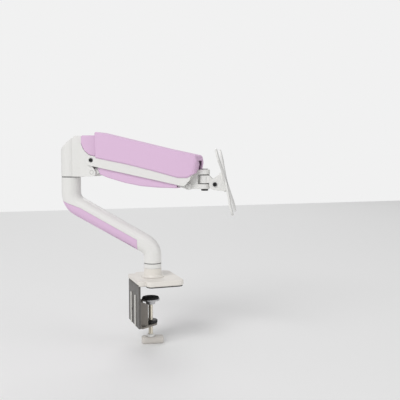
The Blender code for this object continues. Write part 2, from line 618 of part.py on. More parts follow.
def build_hub(arm):
    """The tower on the elbow, the fork of the lift pivots and the strut's anchor."""
    hub = frame("elbow_swivel", arm, (LOWER_LENGTH, 0, ELBOW_SEAM - HUB_DATUM),
                turn_z=UPPER_AZIMUTH - BASE_AZIMUTH)
    low = HUB_DATUM + WASHER / 2 + GAP
    tower = put("hub", rod(COLUMN_RADIUS, low, HUB_TOP, steps=28, edge=0.8), hub, WHITE)
    add(tower, box(0, CHEEK_X, -NECK_HALF_WIDTH, NECK_HALF_WIDTH, low, HUB_TOP - 0.4))
    cheek = [(CHEEK_X - 2, low + 1), (46.0, low + 0.6), (54.0, low + 1.4), (58.0, low + 5.0),
             (58.4, 209.0), (56.0, 214.0), (52.0, 219.5), (54.0, 224.5), (58.0, 229.0),
             (58.4, 233.0), (56.6, 236.6)]
    cheek += [point for point in reversed(shroud_edge(-GAP)) if point[0] < 54.0]
    cheek += [(CHEEK_X, 262.0), (CHEEK_X - 2, 262.0)]
    add(tower, extruded(cheek, -CHEEK_OUTER, CHEEK_OUTER),
        box(CHEEK_X - 2, 48.0, -NECK_HALF_WIDTH - 2.5, NECK_HALF_WIDTH + 2.5, 245.0, 253.0))
    slant = (HUB_TOP - HUB_CHAMFER_BACK) / (HUB_CHAMFER_X + COLUMN_RADIUS)
    cut(tower, extruded([(HUB_CHAMFER_X, HUB_TOP), (-30, HUB_TOP - slant * (HUB_CHAMFER_X + 30)),
                         (-30, HUB_TOP + 20), (HUB_CHAMFER_X, HUB_TOP + 20)], -30, 30))
    slot = [(34.0, low - 4), (70.0, low - 4), (70.0, 300.0), (48.5, 300.0), (48.5, 249.0), (34.0, 249.0)]
    bush_outer = PIN_RADIUS + RUN + BUSH_WALL
    cut(tower, extruded(slot, -CHEEK_INNER, CHEEK_INNER),
        rod(bush_outer + RUN, low - 2, HUB_PIN_TOP + 1.0),
        rod(LIFT_PIN + RUN, -40, 40, (LIFT_X, 0, LIFT_Z), "Y", 16),
        rod(LINK_PIN + RUN, -40, 40, (LIFT_X, 0, LIFT_Z - PIVOT_SPACING), "Y", 16),
        rod(STRUT_PIN + RUN, 240, 260, (40.0, 0, 0), steps=16))

    shell = [(CHEEK_X + 0.3, HUB_TOP - 2.0), (CHEEK_X + 2.3, HUB_TOP), (58.0, HUB_TOP),
             (60.5, HUB_TOP - 2.5)]
    shell += list(reversed(shroud_edge(GAP)))
    shroud = put("hub_shroud", extruded(shell, -CHEEK_OUTER, CHEEK_OUTER, "Y", 1.0), hub, LILAC)
    inside = CHEEK_OUTER - COVER_SKIN
    cut(shroud, box(CHEEK_X + 2.6, 70, -inside, inside, 220, HUB_TOP - COVER_SKIN))

    put("elbow_bush", ring(PIN_RADIUS + RUN, bush_outer, low, HUB_PIN_TOP - 1), hub, NYLON)
    pin = put("lift_pin", rod(LIFT_PIN, -BEAM_OUTER, BEAM_OUTER, (LIFT_X, 0, LIFT_Z), "Y"), hub, STEEL)
    cut(pin, rod(2.3, -BEAM_OUTER - 1, -14, (LIFT_X, 0, LIFT_Z), "Y", 16),
        rod(2.3, 14, BEAM_OUTER + 1, (LIFT_X, 0, LIFT_Z), "Y", 16))
    head = BEAM_OUTER + GAP
    for name, side in (("lift_screw_near", -1), ("lift_screw_far", 1)):
        profile = [(0, side * 15), (2.0, side * 15), (2.0, side * head), (LIFT_SCREW_HEAD, side * head),
                   (LIFT_SCREW_HEAD, side * (head + 0.9)), (2.6, side * (head + 1.5)),
                   (1.6, side * (head + 1.5)),
                   (1.6, side * (head + 0.6)), (0, side * (head + 0.6))]
        put(name, turned(profile, (LIFT_X, 0, LIFT_Z), "Y", 16), hub, BLACK)
    stub = (LINK_OUTER - LINK_WALL - 1.0, CHEEK_OUTER + 0.6)
    for name, low, high in (("link_pin_near", -stub[1], -stub[0]), ("link_pin_far", *stub)):
        put(name, rod(LINK_PIN, low, high, (LIFT_X, 0, LIFT_Z - PIVOT_SPACING), "Y", edge=0.5),
            hub, ZINC)
    build_strut_anchor(hub)
    return hub


def build_strut_anchor(hub):
    """The block that holds the strut's rear end, its pin and the screw that sets it."""
    outline = hull([(34.3, 208.0), (39.0, 208.0), (34.3, 233.0), (45.0, 233.0)],
                   circle(STRUT_X, STRUT_Z, 6.2, 20))
    block = put("tension_block", extruded(outline, -10.5, 10.5), hub, ZINC)
    cut(block, box(38.2, 60, -5.2, 5.2, 205, 223.2),
        rod(STRUT_PIN + RUN, -12, 12, (STRUT_X, 0, STRUT_Z), "Y", 16),
        rod(STRUT_PIN + RUN, 222, 240, (40.0, 0, 0), steps=16))
    put("tension_screw", turned([(0, 225), (STRUT_PIN, 225), (STRUT_PIN, 253.3), (5.0, 253.3),
                                 (5.0, 257.5), (2.0, 257.5), (2.0, 255.2), (0, 255.2)],
                                (40.0, 0, 0), steps=16), hub, BLACK)
    put("strut_rear_pin", rod(STRUT_PIN, -10.5, 10.5, (STRUT_X, 0, STRUT_Z), "Y", 16), hub, STEEL)


# ---------------------------------------------------------------- upper arm

def nose_plan(inset):
    """The long cover's plan outline, its front corners rounded."""
    side = COVER_OUTER - inset + 0.02
    corner = COVER_NOSE - inset
    front = COVER_FRONT - inset
    flank = front - corner - 1
    return rounded([(-60, -side - 1), (flank, -side - 1), (flank + 0.5, -side), (front, -side, corner),
                    (front, side, corner), (flank + 0.5, side), (flank, side + 1), (-60, side + 1)], 5)


def build_upper_arm(hub):
    """The beam on the lift pivot with its long cover."""
    lift = frame("arm_lift", hub, (LIFT_X, 0, LIFT_Z), turn_y=UPPER_SLOPE)
    front = FRONT_PIVOT_X
    outline = rounded([(-10.5, -10.5, 9), (front + 1, -8.6, 6), (front + 8.8, 5.0, 8),
                       (front + 8.8, 23.0, 8), (front - 14, 30.5, 6), (front - 34, 30.5, 6),
                       (front - 49, 10.0, 8), (-10.5, 8.0, 9)], 4)
    inner = BEAM_OUTER - BEAM_WALL
    beam = put("beam", extruded(outline, -BEAM_OUTER, -inner), lift, WHITE)
    add(beam, box(20, 46, -inner - 1, inner + 1, 3.0, 6.0),
        box(front - 42, front - 24, -inner - 1, inner + 1, 2.6, 5.2),
        extruded(outline, inner, BEAM_OUTER))
    cut(beam, rod(LIFT_PIN + RUN, -40, 40, (0, 0, 0), "Y", 16),
        rod(LIFT_PIN + RUN, -40, 40, (FRONT_PIVOT_X, 0, FRONT_PIVOT_Z), "Y", 16),
        rod(LIFT_PIN + RUN, -40, 40, (STRUT_FRONT_X, 0, STRUT_FRONT_Z), "Y", 16))

    outline = rounded([(8.0, 5.6), (69.0, 7.0), (front - 63, 6.0), (front - 14, 3.8),
                       (front + 4, 7.6, 6), (front + 18, 21.0, 9), (front + 19, 31.0, 9),
                       (front + 10, 49.6, 5), (front - 48, 49.6), (60.0, 51.2), (-3.0, 52.6, 3)], 4)
    cover = put("upper_cover", extruded(outline, -COVER_OUTER, COVER_OUTER, "Y", 2.2), lift, LILAC)
    keep(cover, extruded(nose_plan(0.0), -20, 80, "Z"))
    room = COVER_OUTER - COVER_SKIN
    hollow = put("upper_cover.hollow", extruded([(-20, -10), (front + 48, -10), (front + 48, 40),
                                                 (front + 12, 40.4), (front + 8.6, 47.2),
                                                 (front - 48, 47.2),
                                                 (60, 48.8), (-20, 50.6)], -room, room), lift)
    keep(hollow, extruded(nose_plan(COVER_SKIN), -20, 80, "Z"))
    mouth = COVER_OUTER - COVER_NOSE
    throat = LUG_RADIUS + LUG_CLEARANCE
    barrel_top = FRONT_PIVOT_Z + KNUCKLE_RADIUS + LUG_CLEARANCE
    cut(cover, hollow, box(front, front + 48, -mouth, mouth, -10, barrel_top),
        box(front, front + 48, -throat, throat, -10, THROAT_TOP))

    for name, x, z in (("front_pin", front, FRONT_PIVOT_Z),
                       ("strut_front_pin", STRUT_FRONT_X, STRUT_FRONT_Z)):
        put(name, rod(LIFT_PIN, -BEAM_OUTER, BEAM_OUTER, (x, 0, z), "Y"), lift, STEEL)
    return lift


def in_hub(x, z):
    """A point of the upper arm's frame, in the hub's frame at rest."""
    a = radians(UPPER_SLOPE)
    return (LIFT_X + x * cos(a) + z * sin(a), LIFT_Z - x * sin(a) + z * cos(a))


def build_strut(hub):
    """The gas strut between the hub and the beam: a rod, and a tube that slides on it."""
    x, z = in_hub(STRUT_FRONT_X, STRUT_FRONT_Z)
    length = hypot(x - STRUT_X, z - STRUT_Z)
    slope = degrees(atan2(z - STRUT_Z, x - STRUT_X))
    swing = frame("strut_swing", hub, (STRUT_X, 0, STRUT_Z), turn_y=-slope)
    piece = put("strut_rod", rod(5.5, -4.8, 4.8, (0, 0, 0), "Y", 16), swing, STEEL)
    bore_end = length - STRUT_HEAD
    add(piece, rod(STRUT_ROD, 3.5, bore_end - 12, axis="X"))
    cut(piece, rod(STRUT_PIN + RUN, -6, 6, (0, 0, 0), "Y", 16))

    slide = frame("strut_slide", swing, (0, 0, 0))
    tube = put("strut_tube", rod(STRUT_TUBE, STRUT_GLAND, length - 12, axis="X", edge=1.0),
               slide, BLACK)
    eye = LIFT_PIN + STRUT_CLEARANCE
    add(tube, rod(eye + 3.0, -7, 7, (length, 0, 0), "Y", 18),
        rod(6.0, length - 14, length - 7.2, axis="X", steps=20))
    cut(tube, rod(STRUT_ROD + RUN, STRUT_GLAND - 2, bore_end, axis="X"),
        rod(eye, -9, 9, (length, 0, 0), "Y", 18))


def build_lower_link(hub):
    """The lower link of the parallelogram with its belly cover."""
    link = frame("link_swing", hub, (LIFT_X, 0, LIFT_Z - PIVOT_SPACING), turn_y=UPPER_SLOPE)
    front = FRONT_PIVOT_X
    outline = rounded([(-5.6, -5.6, 5), (3.0, -5.4, 3), (14.0, 2.6, 5), (front - 17, 10.6, 6),
                       (front + 5.6, 8.4, 5), (front + 5.6, 19.6, 5), (front - 6, 19.6, 5),
                       (front - 18, 17.2, 6), (12.0, 9.4, 6), (0.0, 5.6, 3), (-5.6, 5.6, 5)], 3)
    inner = LINK_OUTER - LINK_WALL
    piece = put("lower_link", extruded(outline, -LINK_OUTER, -inner), link, WHITE)
    web = [(front - 104, 6.2), (front - 24, 10.4), (front - 24, 12.8), (front - 104, 8.6)]
    add(piece, extruded(web, -inner - 1, inner + 1), extruded(outline, inner, LINK_OUTER))
    cut(piece, rod(LINK_PIN + RUN, -20, 20, (0, 0, 0), "Y", 16),
        rod(LINK_PIN + RUN, -20, 20, (FRONT_PIVOT_X, 0, FRONT_PIVOT_Z), "Y", 16))

    sag = [(share * front, z) for share, z in BELLY_SAG]
    belly = rounded([(8.0, 10.5), (16.3, -0.4, 4), (32.0, -3.0, 30)] + [(x, z, 60) for x, z in sag]
                    + [(front - 18, 6.9), (front - 18, 15.0), (17.5, 15.0)], 3)
    cover = put("lower_cover", extruded(belly, -LOWER_COVER_OUTER, LOWER_COVER_OUTER, "Y", 1.6),
                link, LILAC)
    inside = LOWER_COVER_OUTER - COVER_SKIN
    cut(cover, extruded([(-10, 40), (-10, 2.2), (17, 2.2), (32, -0.7)]
                        + [(x, z + COVER_SKIN) for x, z in sag]
                        + [(front + 18, 16), (front + 18, 40)], -inside, inside))


# ---------------------------------------------------------------- head

def build_knuckle(lift):
    """The level knuckle that the parallelogram keeps upright, with its swivel pin."""
    level = frame("knuckle_level", lift, (FRONT_PIVOT_X, 0, FRONT_PIVOT_Z), turn_y=-UPPER_SLOPE)
    inner = LINK_OUTER - LINK_WALL - GAP
    lug = hull(circle(SWIVEL_REACH, 0, LUG_RADIUS, 18), [(0, -LUG_RADIUS), (0, LUG_RADIUS)])
    piece = put("knuckle", rod(KNUCKLE_RADIUS, -CHEEK_OUTER, CHEEK_OUTER, (0, 0, 0), "Y", 22, 0.6), level, WHITE)
    add(piece, extruded(lug, LUG_GAP_TOP, LUG_TOP, "Z", 0.8),
        box(-4.0, SWIVEL_REACH - LUG_RADIUS - 1.2, -LUG_RADIUS + 0.4, LUG_RADIUS - 0.4, LUG_BOTTOM + 1, 5.0),
        extruded(lug, LUG_BOTTOM, LUG_GAP_BOTTOM, "Z", 0.8),
        rod(6.3, -inner, inner, (0, 0, -PIVOT_SPACING), "Y", 18, 0.5))
    cut(piece, rod(LIFT_PIN + RUN, -25, 25, (0, 0, 0), "Y", 16),
        rod(LINK_PIN + RUN, -25, 25, (0, 0, -PIVOT_SPACING), "Y", 16),
        rod(SWIVEL_PIN + RUN, LUG_BOTTOM - 2, LUG_TOP + 2, (SWIVEL_REACH, 0, 0), steps=20))
    put("link_front_pin", rod(LINK_PIN, -LINK_OUTER - 0.6, LINK_OUTER + 0.6,
                              (0, 0, -PIVOT_SPACING), "Y", edge=0.5), level, ZINC)
    head = LUG_TOP + GAP
    put("swivel_pin", turned([(0, LUG_BOTTOM - 3.4), (SWIVEL_PIN, LUG_BOTTOM - 3.4), (SWIVEL_PIN, head),
                              (6.4, head), (6.4, head + 0.7), (5.6, head + 1.3), (0, head + 1.3)],
                             (SWIVEL_REACH, 0, 0), steps=24), level, STEEL)
    put("swivel_nut", ring(SWIVEL_PIN + RUN, 6.6, LUG_BOTTOM - GAP - 3.0, LUG_BOTTOM - GAP,
                           (SWIVEL_REACH, 0, 0), steps=18), level, BLACK)
    return level


def build_neck(level):
    """The neck that pans on the swivel pin and carries the tilt joint."""
    middle = (LUG_GAP_TOP + LUG_GAP_BOTTOM) / 2
    neck = frame("head_pan", level, (SWIVEL_REACH, 0, middle), turn_z=HEAD_PAN)
    half = (LUG_GAP_TOP - LUG_GAP_BOTTOM) / 2
    washer = 0.9
    top = half - 2 * GAP - washer
    piece = put("neck", rod(LUG_RADIUS - 0.3, -top, top, steps=28), neck, WHITE)
    drop = -TILT_DROP
    level_end = LUG_RADIUS + GAP
    side = rounded([(0, -top + 0.3), (level_end, -top + 0.3, 2), (TILT_REACH - 4, drop - 6.6, 3),
                    (TILT_REACH, drop - 6.6), (TILT_REACH, drop + 7.0), (TILT_REACH - 3, drop + 7.2, 3),
                    (level_end - 1, top - 0.3, 3), (0, top - 0.3)], 3)
    add(piece, extruded(side, -TILT_BARREL_HALF + 0.4, TILT_BARREL_HALF - 0.4),
        rod(TILT_BARREL, -TILT_BARREL_HALF, TILT_BARREL_HALF, (TILT_REACH, 0, drop), "Y", 18))
    cut(piece, rod(SWIVEL_PIN + RUN, -20, 20, steps=20),
        rod(TILT_BOLT + RUN, -20, 20, (TILT_REACH, 0, drop), "Y", 16))
    for name, low in (("swivel_washer_upper", top + GAP), ("swivel_washer_lower", -top - GAP - washer)):
        put(name, ring(SWIVEL_PIN + RUN, LUG_RADIUS - 0.6, low, low + washer), neck, NYLON)
    return neck


def build_tilt(neck):
    """The tilt bracket, its bolt and nut, and the plate that turns on it."""
    tilt = frame("head_tilt", neck, (TILT_REACH, 0, -TILT_DROP), turn_y=-TILT_REST)
    inner = TILT_BARREL_HALF + GAP
    outer = inner + FORK_WALL
    foot = rectangle(-FLANGE_HALF_WIDTH, FLANGE_HALF_WIDTH, -FLANGE_HALF_HEIGHT, FLANGE_HALF_HEIGHT, 4.0)
    piece = put("tilt_bracket", extruded(foot, FLANGE_START, FLANGE_END, "X", 0.6), tilt, WHITE)
    fork = hull(circle(0, 0, FORK_RADIUS, 20), [(FLANGE_START + 1, FORK_HALF_HEIGHT),
                                                (FLANGE_START + 1, -FORK_HALF_HEIGHT)])
    add(piece, extruded(fork, -outer, -inner), extruded(fork, inner, outer))
    cut(piece, rod(TILT_BOLT + RUN, -30, 30, (0, 0, 0), "Y", 16),
        rod(SPINDLE_RADIUS + RUN, FLANGE_START - 2, FLANGE_END + 2, axis="X", steps=20))
    head = -outer - GAP
    put("tilt_bolt", turned([(0, outer + 4.0), (TILT_BOLT, outer + 4.0), (TILT_BOLT, head),
                             (TILT_BOLT_HEAD, head), (TILT_BOLT_HEAD, head - 1.8),
                             (3.1, head - 2.4), (1.6, head - 2.4), (1.6, head - 1.0),
                             (0, head - 1.0)], axis="Y", steps=20), tilt, BLACK)
    put("tilt_nut", ring(TILT_BOLT + RUN, 5.4, outer + GAP, outer + 3.6, axis="Y", steps=12), tilt, BLACK)

    turn = frame("plate_turn", tilt, (FLANGE_END + 0.4, 0, 0))
    half = PLATE_SIZE / 2
    plate = put("vesa_plate", extruded(rectangle(-half, half, -half, half, PLATE_CORNER), 0,
                                       PLATE_THICKNESS, "X", 0.5), turn, WHITE)
    for reach in (37.5, 50.0):
        for y in (-reach, reach):
            for z in (-reach, reach):
                cut(plate, rod(SCREW_HOLE, -2, 6, (0, y, z), "X", 12))
    for y, z in ((-1, 0), (1, 0), (0, 1), (0, -1)):
        root = circle(y * NOTCH_ROOT[0], z * NOTCH_ROOT[0], NOTCH_ROOT[1], 16)
        mouth = circle(y * NOTCH_MOUTH[0], z * NOTCH_MOUTH[0], NOTCH_MOUTH[1], 32)
        cut(plate, extruded(hull(root, mouth), -2, 6, "X"))
    cut(plate, rod(SPINDLE_RADIUS + RUN, -2, 6, axis="X", steps=20),
        rod(9.4, PLATE_THICKNESS - 1.9, PLATE_THICKNESS + 2, axis="X", steps=20))
    put("plate_spindle", turned([(0, -10.0), (SPINDLE_RADIUS, -10.0), (SPINDLE_RADIUS, 1.4), (9.0, 1.4),
                                 (9.0, 2.6), (0, 2.6)], axis="X", steps=20), turn, STEEL)
    back = FLANGE_START - FLANGE_END - 0.4 - GAP
    put("spindle_nut", ring(SPINDLE_RADIUS + RUN, 7.6, back - 2.6, back, axis="X", steps=18), turn, BLACK)


def build():
    """Build the whole arm."""
    clear_scene()
    root = frame("monitor_arm", None, (0, 0, 0))
    build_clamp(root)
    build_clamp_foot(root)
    build_base(root)
    arm = build_lower_arm(root)
    hub = build_hub(arm)
    lift = build_upper_arm(hub)
    build_strut(hub)
    build_lower_link(hub)
    level = build_knuckle(lift)
    neck = build_neck(level)
    build_tilt(neck)


build()
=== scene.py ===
"""Looks of a desk-clamp monitor arm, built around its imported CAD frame.

The CAD nodes keep their shapes and get detailed finishes. The pieces whose real shape
is finer than the CAD's are modelled again here: the threaded clamp screw, the socket
screws, the hex nuts, the fluted bush and the ribbed foot pad. The clamp's handle keeps
the CAD's shape, welded so that it shades smoothly.
"""

import json
import logging
import math
from dataclasses import dataclass
from enum import Enum
from typing import ClassVar, Iterable, Mapping, Sequence

import bmesh
import bpy
from mathutils import Matrix, Vector


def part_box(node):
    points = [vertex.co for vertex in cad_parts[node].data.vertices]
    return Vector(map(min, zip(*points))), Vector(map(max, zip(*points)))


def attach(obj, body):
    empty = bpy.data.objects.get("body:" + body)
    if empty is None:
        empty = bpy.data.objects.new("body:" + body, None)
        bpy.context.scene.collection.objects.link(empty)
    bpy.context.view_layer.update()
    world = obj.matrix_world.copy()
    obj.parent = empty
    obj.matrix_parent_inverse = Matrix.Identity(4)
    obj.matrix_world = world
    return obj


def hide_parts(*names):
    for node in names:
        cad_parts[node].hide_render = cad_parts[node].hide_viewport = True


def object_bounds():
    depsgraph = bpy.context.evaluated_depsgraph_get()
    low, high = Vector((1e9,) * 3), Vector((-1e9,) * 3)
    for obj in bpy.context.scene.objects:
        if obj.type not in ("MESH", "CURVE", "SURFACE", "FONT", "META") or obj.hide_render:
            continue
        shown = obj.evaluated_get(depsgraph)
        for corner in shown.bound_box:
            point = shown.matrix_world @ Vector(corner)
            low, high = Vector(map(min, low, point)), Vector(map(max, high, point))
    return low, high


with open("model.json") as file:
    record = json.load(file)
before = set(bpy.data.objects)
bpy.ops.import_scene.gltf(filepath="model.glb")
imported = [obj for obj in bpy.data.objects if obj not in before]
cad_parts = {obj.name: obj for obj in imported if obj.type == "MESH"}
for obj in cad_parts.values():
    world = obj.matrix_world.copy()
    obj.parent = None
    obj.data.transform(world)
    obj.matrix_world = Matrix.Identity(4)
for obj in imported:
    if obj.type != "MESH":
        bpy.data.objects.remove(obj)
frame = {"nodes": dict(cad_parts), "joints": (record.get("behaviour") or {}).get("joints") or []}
CAD_BOX = [list(corner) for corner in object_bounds()]

log = logging.getLogger("monitor_arm")
Colour = tuple[float, float, float]
Point = tuple[float, float, float]

MM = 0.001
TURN = 2.0 * math.pi
WELD = 1e-6                 # metres


class Grain(Enum):
    """How a surface's fine texture runs."""

    PEEL = "orange peel of sprayed paint"
    STIPPLE = "spark-eroded mould texture"
    BRUSHED = "fine turning or rolling marks"
    PEBBLE = "coarse matt skin"


# ---------------------------------------------------------------- finishes


class Graph:
    """A material's node tree, with short ways to add and wire nodes."""

    def __init__(self, name: str) -> None:
        """Start an empty tree.

        Args:
            name: the material's name.
        """
        self.material = bpy.data.materials.new(name)
        self.material.use_nodes = True
        self.tree = self.material.node_tree
        self.tree.nodes.clear()
        place = self.add("ShaderNodeTexCoord")
        self.place = place.outputs["Object"]

    def add(self, kind: str, **settings: object) -> bpy.types.Node:
        """Add a node.

        Args:
            kind: the node's type name.
            settings: properties of the node; a dict called inputs sets its sockets.

        Returns:
            The new node.
        """
        node = self.tree.nodes.new(kind)
        inputs = dict(settings.pop("inputs", {}))
        for key, value in settings.items():
            setattr(node, key, value)
        for socket, value in inputs.items():
            node.inputs[socket].default_value = value
        return node

    def wire(self, source: bpy.types.NodeSocket, target: bpy.types.NodeSocket) -> None:
        """Link one socket to another."""
        self.tree.links.new(source, target)

    def noise(self, scale: float, detail: float = 2.0, rough: float = 0.5,
              stretch: Point = (1.0, 1.0, 1.0)) -> bpy.types.NodeSocket:
        """Noise over the piece, in cycles per metre.

        Args:
            scale: how fine it is.
            detail: octaves.
            rough: weight of the finer octaves.
            stretch: factors on the piece's X, Y and Z.

        Returns:
            The factor socket.
        """
        mapped = self.add("ShaderNodeMapping", inputs={"Scale": stretch})
        self.wire(self.place, mapped.inputs["Vector"])
        node = self.add("ShaderNodeTexNoise",
                        inputs={"Scale": scale, "Detail": detail, "Roughness": rough})
        self.wire(mapped.outputs["Vector"], node.inputs["Vector"])
        return node.outputs["Fac"]

    def spread(self, source: bpy.types.NodeSocket, low: float, high: float,
               from_low: float = 0.3, from_high: float = 0.7) -> bpy.types.NodeSocket:
        """Map a factor to a range, clamped.

        Args:
            source: the factor.
            low: value at from_low.
            high: value at from_high.
            from_low: start of the input range.
            from_high: end of the input range.

        Returns:
            The result socket.
        """
        node = self.add("ShaderNodeMapRange",
                        inputs={"From Min": from_low, "From Max": from_high,
                                "To Min": low, "To Max": high})
        self.wire(source, node.inputs["Value"])
        return node.outputs["Result"]

    def blend(self, factor: bpy.types.NodeSocket, first: object,
              second: Colour) -> bpy.types.NodeSocket:
        """Mix towards a colour by a factor.

        Args:
            factor: the mix.
            first: a colour, or a colour socket.
            second: the colour at factor 1.

        Returns:
            The colour socket.
        """
        node = self.add("ShaderNodeMix", data_type="RGBA", blend_type="MIX")
        node.inputs[7].default_value = (*second, 1.0)
        if isinstance(first, bpy.types.NodeSocket):
            self.wire(first, node.inputs[6])
        else:
            node.inputs[6].default_value = (*first, 1.0)
        self.wire(factor, node.inputs[0])
        return node.outputs[2]

    def times(self, first: bpy.types.NodeSocket, second: object) -> bpy.types.NodeSocket:
        """Multiply two factors, or a factor and a number.

        Args:
            first: a factor.
            second: a factor or a number.

        Returns:
            The product's socket.
        """
        node = self.add("ShaderNodeMath", operation="MULTIPLY")
        self.wire(first, node.inputs[0])
        if isinstance(second, bpy.types.NodeSocket):
            self.wire(second, node.inputs[1])
        else:
            node.inputs[1].default_value = second
        return node.outputs[0]

    def bump(self, height: bpy.types.NodeSocket, depth: float,
             under: bpy.types.NodeSocket | None = None) -> bpy.types.NodeSocket:
        """Raise a height as a bump.

        Args:
            height: the factor that is raised.
            depth: how high a factor of 1 stands, in metres.
            under: the normal it lies on.

        Returns:
            The normal socket.
        """
        node = self.add("ShaderNodeBump", inputs={"Strength": 1.0, "Distance": depth})
        self.wire(height, node.inputs["Height"])
        if under is not None:
            self.wire(under, node.inputs["Normal"])
        return node.outputs["Normal"]

    def soft_edges(self, radius: float) -> tuple[bpy.types.NodeSocket, bpy.types.NodeSocket]:
        """Round every edge in the shading, and find the edges.

        Args:
            radius: of the rounding, in metres.

        Returns:
            The rounded normal, and a factor that is 1 on an edge.
        """
        bevel = self.add("ShaderNodeBevel", samples=6, inputs={"Radius": radius})
        flat = self.add("ShaderNodeNewGeometry")
        dot = self.add("ShaderNodeVectorMath", operation="DOT_PRODUCT")
        self.wire(bevel.outputs["Normal"], dot.inputs[0])
        self.wire(flat.outputs["Normal"], dot.inputs[1])
        edge = self.spread(dot.outputs["Value"], 1.0, 0.0, 0.80, 0.985)
        return bevel.outputs["Normal"], edge


PATCH_SCALE = 14.0          # cycles per metre of the larger patches
GLOSS_SCALE = 45.0          # of the gloss
SPECK_SCALE = 160.0         # of the specks, which wear follows too
COAT_ROUGHNESS = 0.2


@dataclass(frozen=True)
class Finish:
    """One finish: its colour, gloss, fine texture and wear.

    Lengths are in metres and noise scales in cycles per metre.
    """

    name: str
    colour: Colour
    drift: Colour                 # the colour that patches lean to
    worn: Colour                  # what shows on edges that hands and tools touch
    grain: Grain
    roughness: tuple[float, float]
    metallic: float = 0.0
    depth: float = 2.0e-5         # of the fine texture
    scale: float = 900.0          # of the fine texture
    edge: float = 5.0e-4          # rounding of edges
    wear: float = 0.25            # share of an edge that is worn
    dirt: float = 0.10            # strength of the larger patches
    coat: float = 0.0
    specular: float = 0.5
    stretch: Point = (1.0, 1.0, 1.0)

    def build(self) -> bpy.types.Material:
        """Make the material.

        Returns:
            The material of this name if there is one already, the frame's included, or
            else a new one.
        """
        found = bpy.data.materials.get(self.name)
        if found:
            return found
        graph = Graph(self.name)
        shader = graph.add("ShaderNodeBsdfPrincipled",
                           inputs={"Metallic": self.metallic,
                                   "Specular IOR Level": self.specular,
                                   "Coat Weight": self.coat,
                                   "Coat Roughness": COAT_ROUGHNESS})
        normal, edge = graph.soft_edges(self.edge)
        patches = graph.noise(PATCH_SCALE, 4.0, 0.6)
        specks = graph.noise(SPECK_SCALE, 3.0, 0.65)
        tone = graph.blend(graph.spread(patches, 0.0, self.dirt, 0.35, 0.72),
                           self.colour, self.drift)
        tone = graph.blend(graph.spread(specks, 0.0, self.dirt * 0.5, 0.55, 0.75),
                           tone, self.drift)
        rubbed = graph.times(edge, graph.spread(specks, 0.0, self.wear, 0.38, 0.62))
        tone = graph.blend(rubbed, tone, self.worn)
        graph.wire(tone, shader.inputs["Base Color"])
        low, high = self.roughness
        gloss = graph.spread(graph.noise(GLOSS_SCALE, 5.0, 0.6), low, high, 0.3, 0.7)
        graph.wire(gloss, shader.inputs["Roughness"])
        graph.wire(self._texture(graph, normal), shader.inputs["Normal"])
        out = graph.add("ShaderNodeOutputMaterial")
        graph.wire(shader.outputs["BSDF"], out.inputs["Surface"])
        return graph.material

    def _texture(self, graph: Graph, normal: bpy.types.NodeSocket) -> bpy.types.NodeSocket:
        """The fine texture's bump.

        Args:
            graph: the material's tree.
            normal: the normal it lies on.

        Returns:
            The normal socket.
        """
        if self.grain is Grain.PEEL:
            waves = graph.bump(graph.noise(self.scale * 0.35, 1.0, 0.4), self.depth * 1.6, normal)
            return graph.bump(graph.noise(self.scale, 2.0, 0.5), self.depth * 0.5, waves)
        if self.grain is Grain.BRUSHED:
            lines = graph.noise(self.scale, 3.0, 0.7, self.stretch)
            return graph.bump(lines, self.depth, normal)
        cells = graph.add("ShaderNodeTexVoronoi", feature="SMOOTH_F1",
                          inputs={"Scale": self.scale, "Smoothness": 0.6})
        graph.wire(graph.place, cells.inputs["Vector"])
        skin = graph.bump(cells.outputs["Distance"], self.depth, normal)
        return graph.bump(graph.noise(self.scale * 2.2, 2.0, 0.6), self.depth * 0.4, skin)


# The frame already holds plain materials called lilac_plastic, bright_zinc, bright_steel,
# black_rubber, dark_nylon and pale_grip. Finish.build takes those as they are, so the
# values of these six finishes don't show until they get names of their own.
BRIGHT = (0.62, 0.62, 0.61)
WHITE_PAINT = Finish("white_paint", (0.80, 0.795, 0.775), (0.66, 0.65, 0.62), (0.70, 0.70, 0.69),
                     Grain.PEEL, (0.30, 0.44), depth=2.2e-5, wear=0.35, coat=0.15)
# White paint of the base cover and foot collar, tinted warm: the tint is a painted warm reflection
# of the room on the base's top.
REFLECTION_TINTED_WHITE_PAINT = Finish("white_paint_painted_warm_reflection", (0.80, 0.77, 0.72), (0.64, 0.60, 0.54), (0.66, 0.64, 0.60),
                    Grain.PEEL, (0.30, 0.46), depth=2.2e-5, wear=0.4, coat=0.15)
LILAC_PLASTIC = Finish("lilac_plastic", (0.72, 0.45, 0.69), (0.60, 0.36, 0.58), (0.84, 0.66, 0.82),
                       Grain.STIPPLE, (0.34, 0.48), depth=2.4e-5, scale=1500.0, wear=0.3, dirt=0.14)
GREY_STEEL = Finish("grey_coated_steel", (0.105, 0.10, 0.095), (0.17, 0.16, 0.15), BRIGHT,
                    Grain.PEBBLE, (0.36, 0.52), metallic=0.25, depth=4.0e-5, scale=1300.0,
                    wear=0.6, dirt=0.35)
JAW_STEEL = Finish("warm_grey_steel", (0.26, 0.24, 0.215), (0.16, 0.15, 0.14), BRIGHT,
                   Grain.PEBBLE, (0.32, 0.5), metallic=0.45, depth=3.0e-5, scale=1300.0,
                   wear=0.6, dirt=0.35)
BRIGHT_ZINC = Finish("bright_zinc", (0.66, 0.645, 0.60), (0.52, 0.53, 0.50), (0.8, 0.8, 0.78),
                     Grain.BRUSHED, (0.22, 0.40), metallic=1.0, depth=1.2e-5, scale=500.0,
                     stretch=(1.0, 1.0, 0.06), dirt=0.3)
# Zinc rails on the clamp wall, their colour made brighter than the white paint: a painted highlight
# for the light that the wall's edges catch.
RAIL_ZINC_PAINTED_HIGHLIGHT = Finish("zinc_rail_painted_highlight", (0.90, 0.885, 0.84), (0.70, 0.69, 0.65), (0.95, 0.95, 0.93),
                   Grain.BRUSHED, (0.30, 0.46), metallic=0.45, depth=1.2e-5, scale=500.0,
                   stretch=(1.0, 1.0, 0.06), dirt=0.3)
